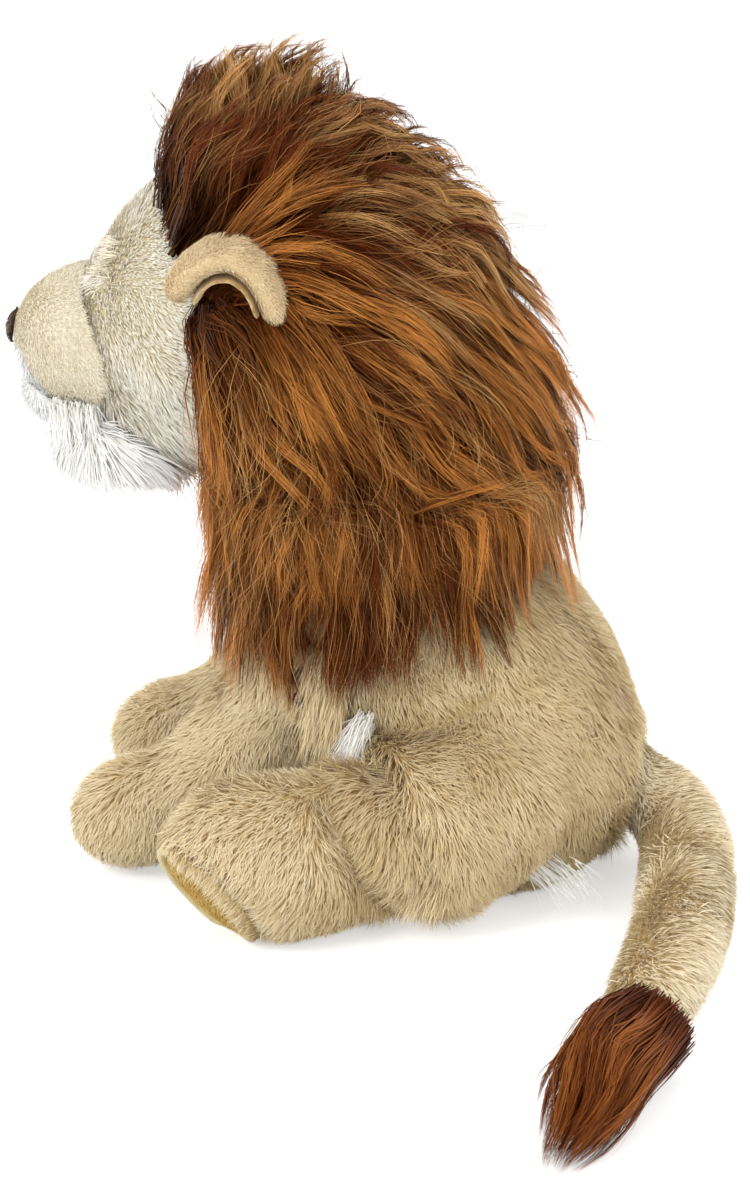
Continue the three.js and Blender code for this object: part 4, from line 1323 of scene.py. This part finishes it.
# each lock ends at its own place along the tuft's line
at = s[None] * rng.uniform(0.64, 1, count)[:, None]
line = np.stack([np.interp(at, knots, path[:, k]) for k in range(3)], -1)
along = unit(np.gradient(line, axis=1))
sideways = unit(np.cross(along, [0, 0, 1.0]))
upways = np.cross(sideways, along)
width = np.interp(at, knots, radii)
outs = sideways * np.cos(turn)[:, None, None] + upways * np.sin(turn)[:, None, None]
guides = line + outs * (width * share[:, None])[..., None]
guides = guides + 2.5 * ripples(guides, 40, 510)
tone = 0.45 + 0.28 * rng.normal(0, 1, count)
hair = combHair(guides, outs, tuftLock, tone, 512)
hairPiece("tail_tuft_hair", hair, "tail", "tail_tuft", tuftHair)
print("tuft grown")


# Eyes

eyeGlass, shader = newMaterial("eyeGlass", 0.08, 0.0, 0.6)
shader.inputs["Coat Weight"].default_value = 0.6
tree = eyeGlass.node_tree
place = addNode(tree, "TexCoord")
cloud = addNode(tree, "TexNoise", {"Scale": 180})
ramp = addNode(tree, "ValToRGB")
ramp.color_ramp.elements[0].color = rgb("1c0d05")
ramp.color_ramp.elements[1].color = rgb("4a2610")
tree.links.new(place.outputs["Object"], cloud.inputs["Vector"])
tree.links.new(cloud.outputs["Fac"], ramp.inputs["Fac"])
tree.links.new(ramp.outputs["Color"], shader.inputs["Base Color"])
washerPlastic = napMaterial("washerPlastic", "d8d4ca", "eae6dc", 900, 0.1, 0.5, 0.0)
for side in sides:
    for node, material in (("_eye", eyeGlass), ("_eye_washer", washerPlastic)):
        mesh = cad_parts[side + node].data
        mesh.materials.clear()
        mesh.materials.append(material)


# Camera, floor and light

view = {"turn": 98, "tilt": 22, "away": 1.3, "target": (0, -0.040, 0.101), "frame": 0.456, "sensor": 36}
turn, tilt = math.radians(view["turn"]), math.radians(view["tilt"])
target = np.array(view["target"])
outward = np.array([math.sin(turn) * math.cos(tilt), -math.cos(turn) * math.cos(tilt), math.sin(tilt)])
camera = bpy.data.objects.new("camera", bpy.data.cameras.new("camera"))
bpy.context.collection.objects.link(camera)
camera.location = target + view["away"] * outward
camera.rotation_euler = (math.radians(90 - view["tilt"]), 0, math.radians(view["turn"]))
camera.data.sensor_fit = "VERTICAL"
camera.data.sensor_height = view["sensor"]
camera.data.lens = view["sensor"] * view["away"] / view["frame"]
bpy.context.scene.camera = camera

floorMesh = bpy.data.meshes.new("floor")
floorMesh.from_pydata([(-6, -6, 0), (6, -6, 0), (6, 6, 0), (-6, 6, 0)], [], [(0, 1, 2, 3)])
floor = link("floor", floorMesh)


def seenRays(tree):
    # 1 where the camera or a mirror looks, 0 for light
    rays = addNode(tree, "LightPath")
    seen = addNode(tree, "Math", operation="MAXIMUM")
    tree.links.new(rays.outputs["Is Camera Ray"], seen.inputs[0])
    tree.links.new(rays.outputs["Is Glossy Ray"], seen.inputs[1])
    return seen.outputs[0]


floorWhite, shader = newMaterial("floorWhite", 0.9, 0.0)
tree = floorWhite.node_tree
shader.inputs["Base Color"].default_value = (0.85, 0.85, 0.85, 1)
shader.inputs["Emission Color"].default_value = (1, 1, 1, 1)
glow = addNode(tree, "Math", {1: 0.5}, operation="MULTIPLY")
tree.links.new(seenRays(tree), glow.inputs[0])
tree.links.new(glow.outputs[0], shader.inputs["Emission Strength"])
floorMesh.materials.append(floorWhite)

world = bpy.data.worlds.new("studio")
bpy.context.scene.world = world
world.use_nodes = True
tree = world.node_tree
backdrop = tree.nodes["Background"]
level = addNode(tree, "MapRange", {"To Min": 0.84, "To Max": 1.0})
tree.links.new(seenRays(tree), level.inputs["Value"])
tree.links.new(level.outputs["Result"], backdrop.inputs["Strength"])
backdrop.inputs["Color"].default_value = (1, 1, 1, 1)


def softBox(name, place, size, power):
    lamp = bpy.data.lights.new(name, "AREA")
    lamp.size = size
    lamp.energy = power
    box = bpy.data.objects.new(name, lamp)
    bpy.context.collection.objects.link(box)
    box.location = place
    # turned so that it faces the lion's chest
    way = unit(np.array([0, -0.03, 0.12]) - np.array(place))
    box.rotation_euler = (math.acos(-way[2]), 0, math.atan2(way[1], way[0]) - math.pi / 2)


lamps = {
    # name: place, size, power
    "keyLamp": ((1.6, -1.1, 1.7), 1.0, 25),
    "fillLamp": ((1.3, 1.4, 1.1), 1.4, 14),
    "rearLamp": ((-1.2, -0.6, 1.4), 1.0, 8),
}
for name, (place, size, power) in lamps.items():
    softBox(name, place, size, power)
bpy.context.scene.view_settings.view_transform = "Standard"
print("camera, floor and light set")
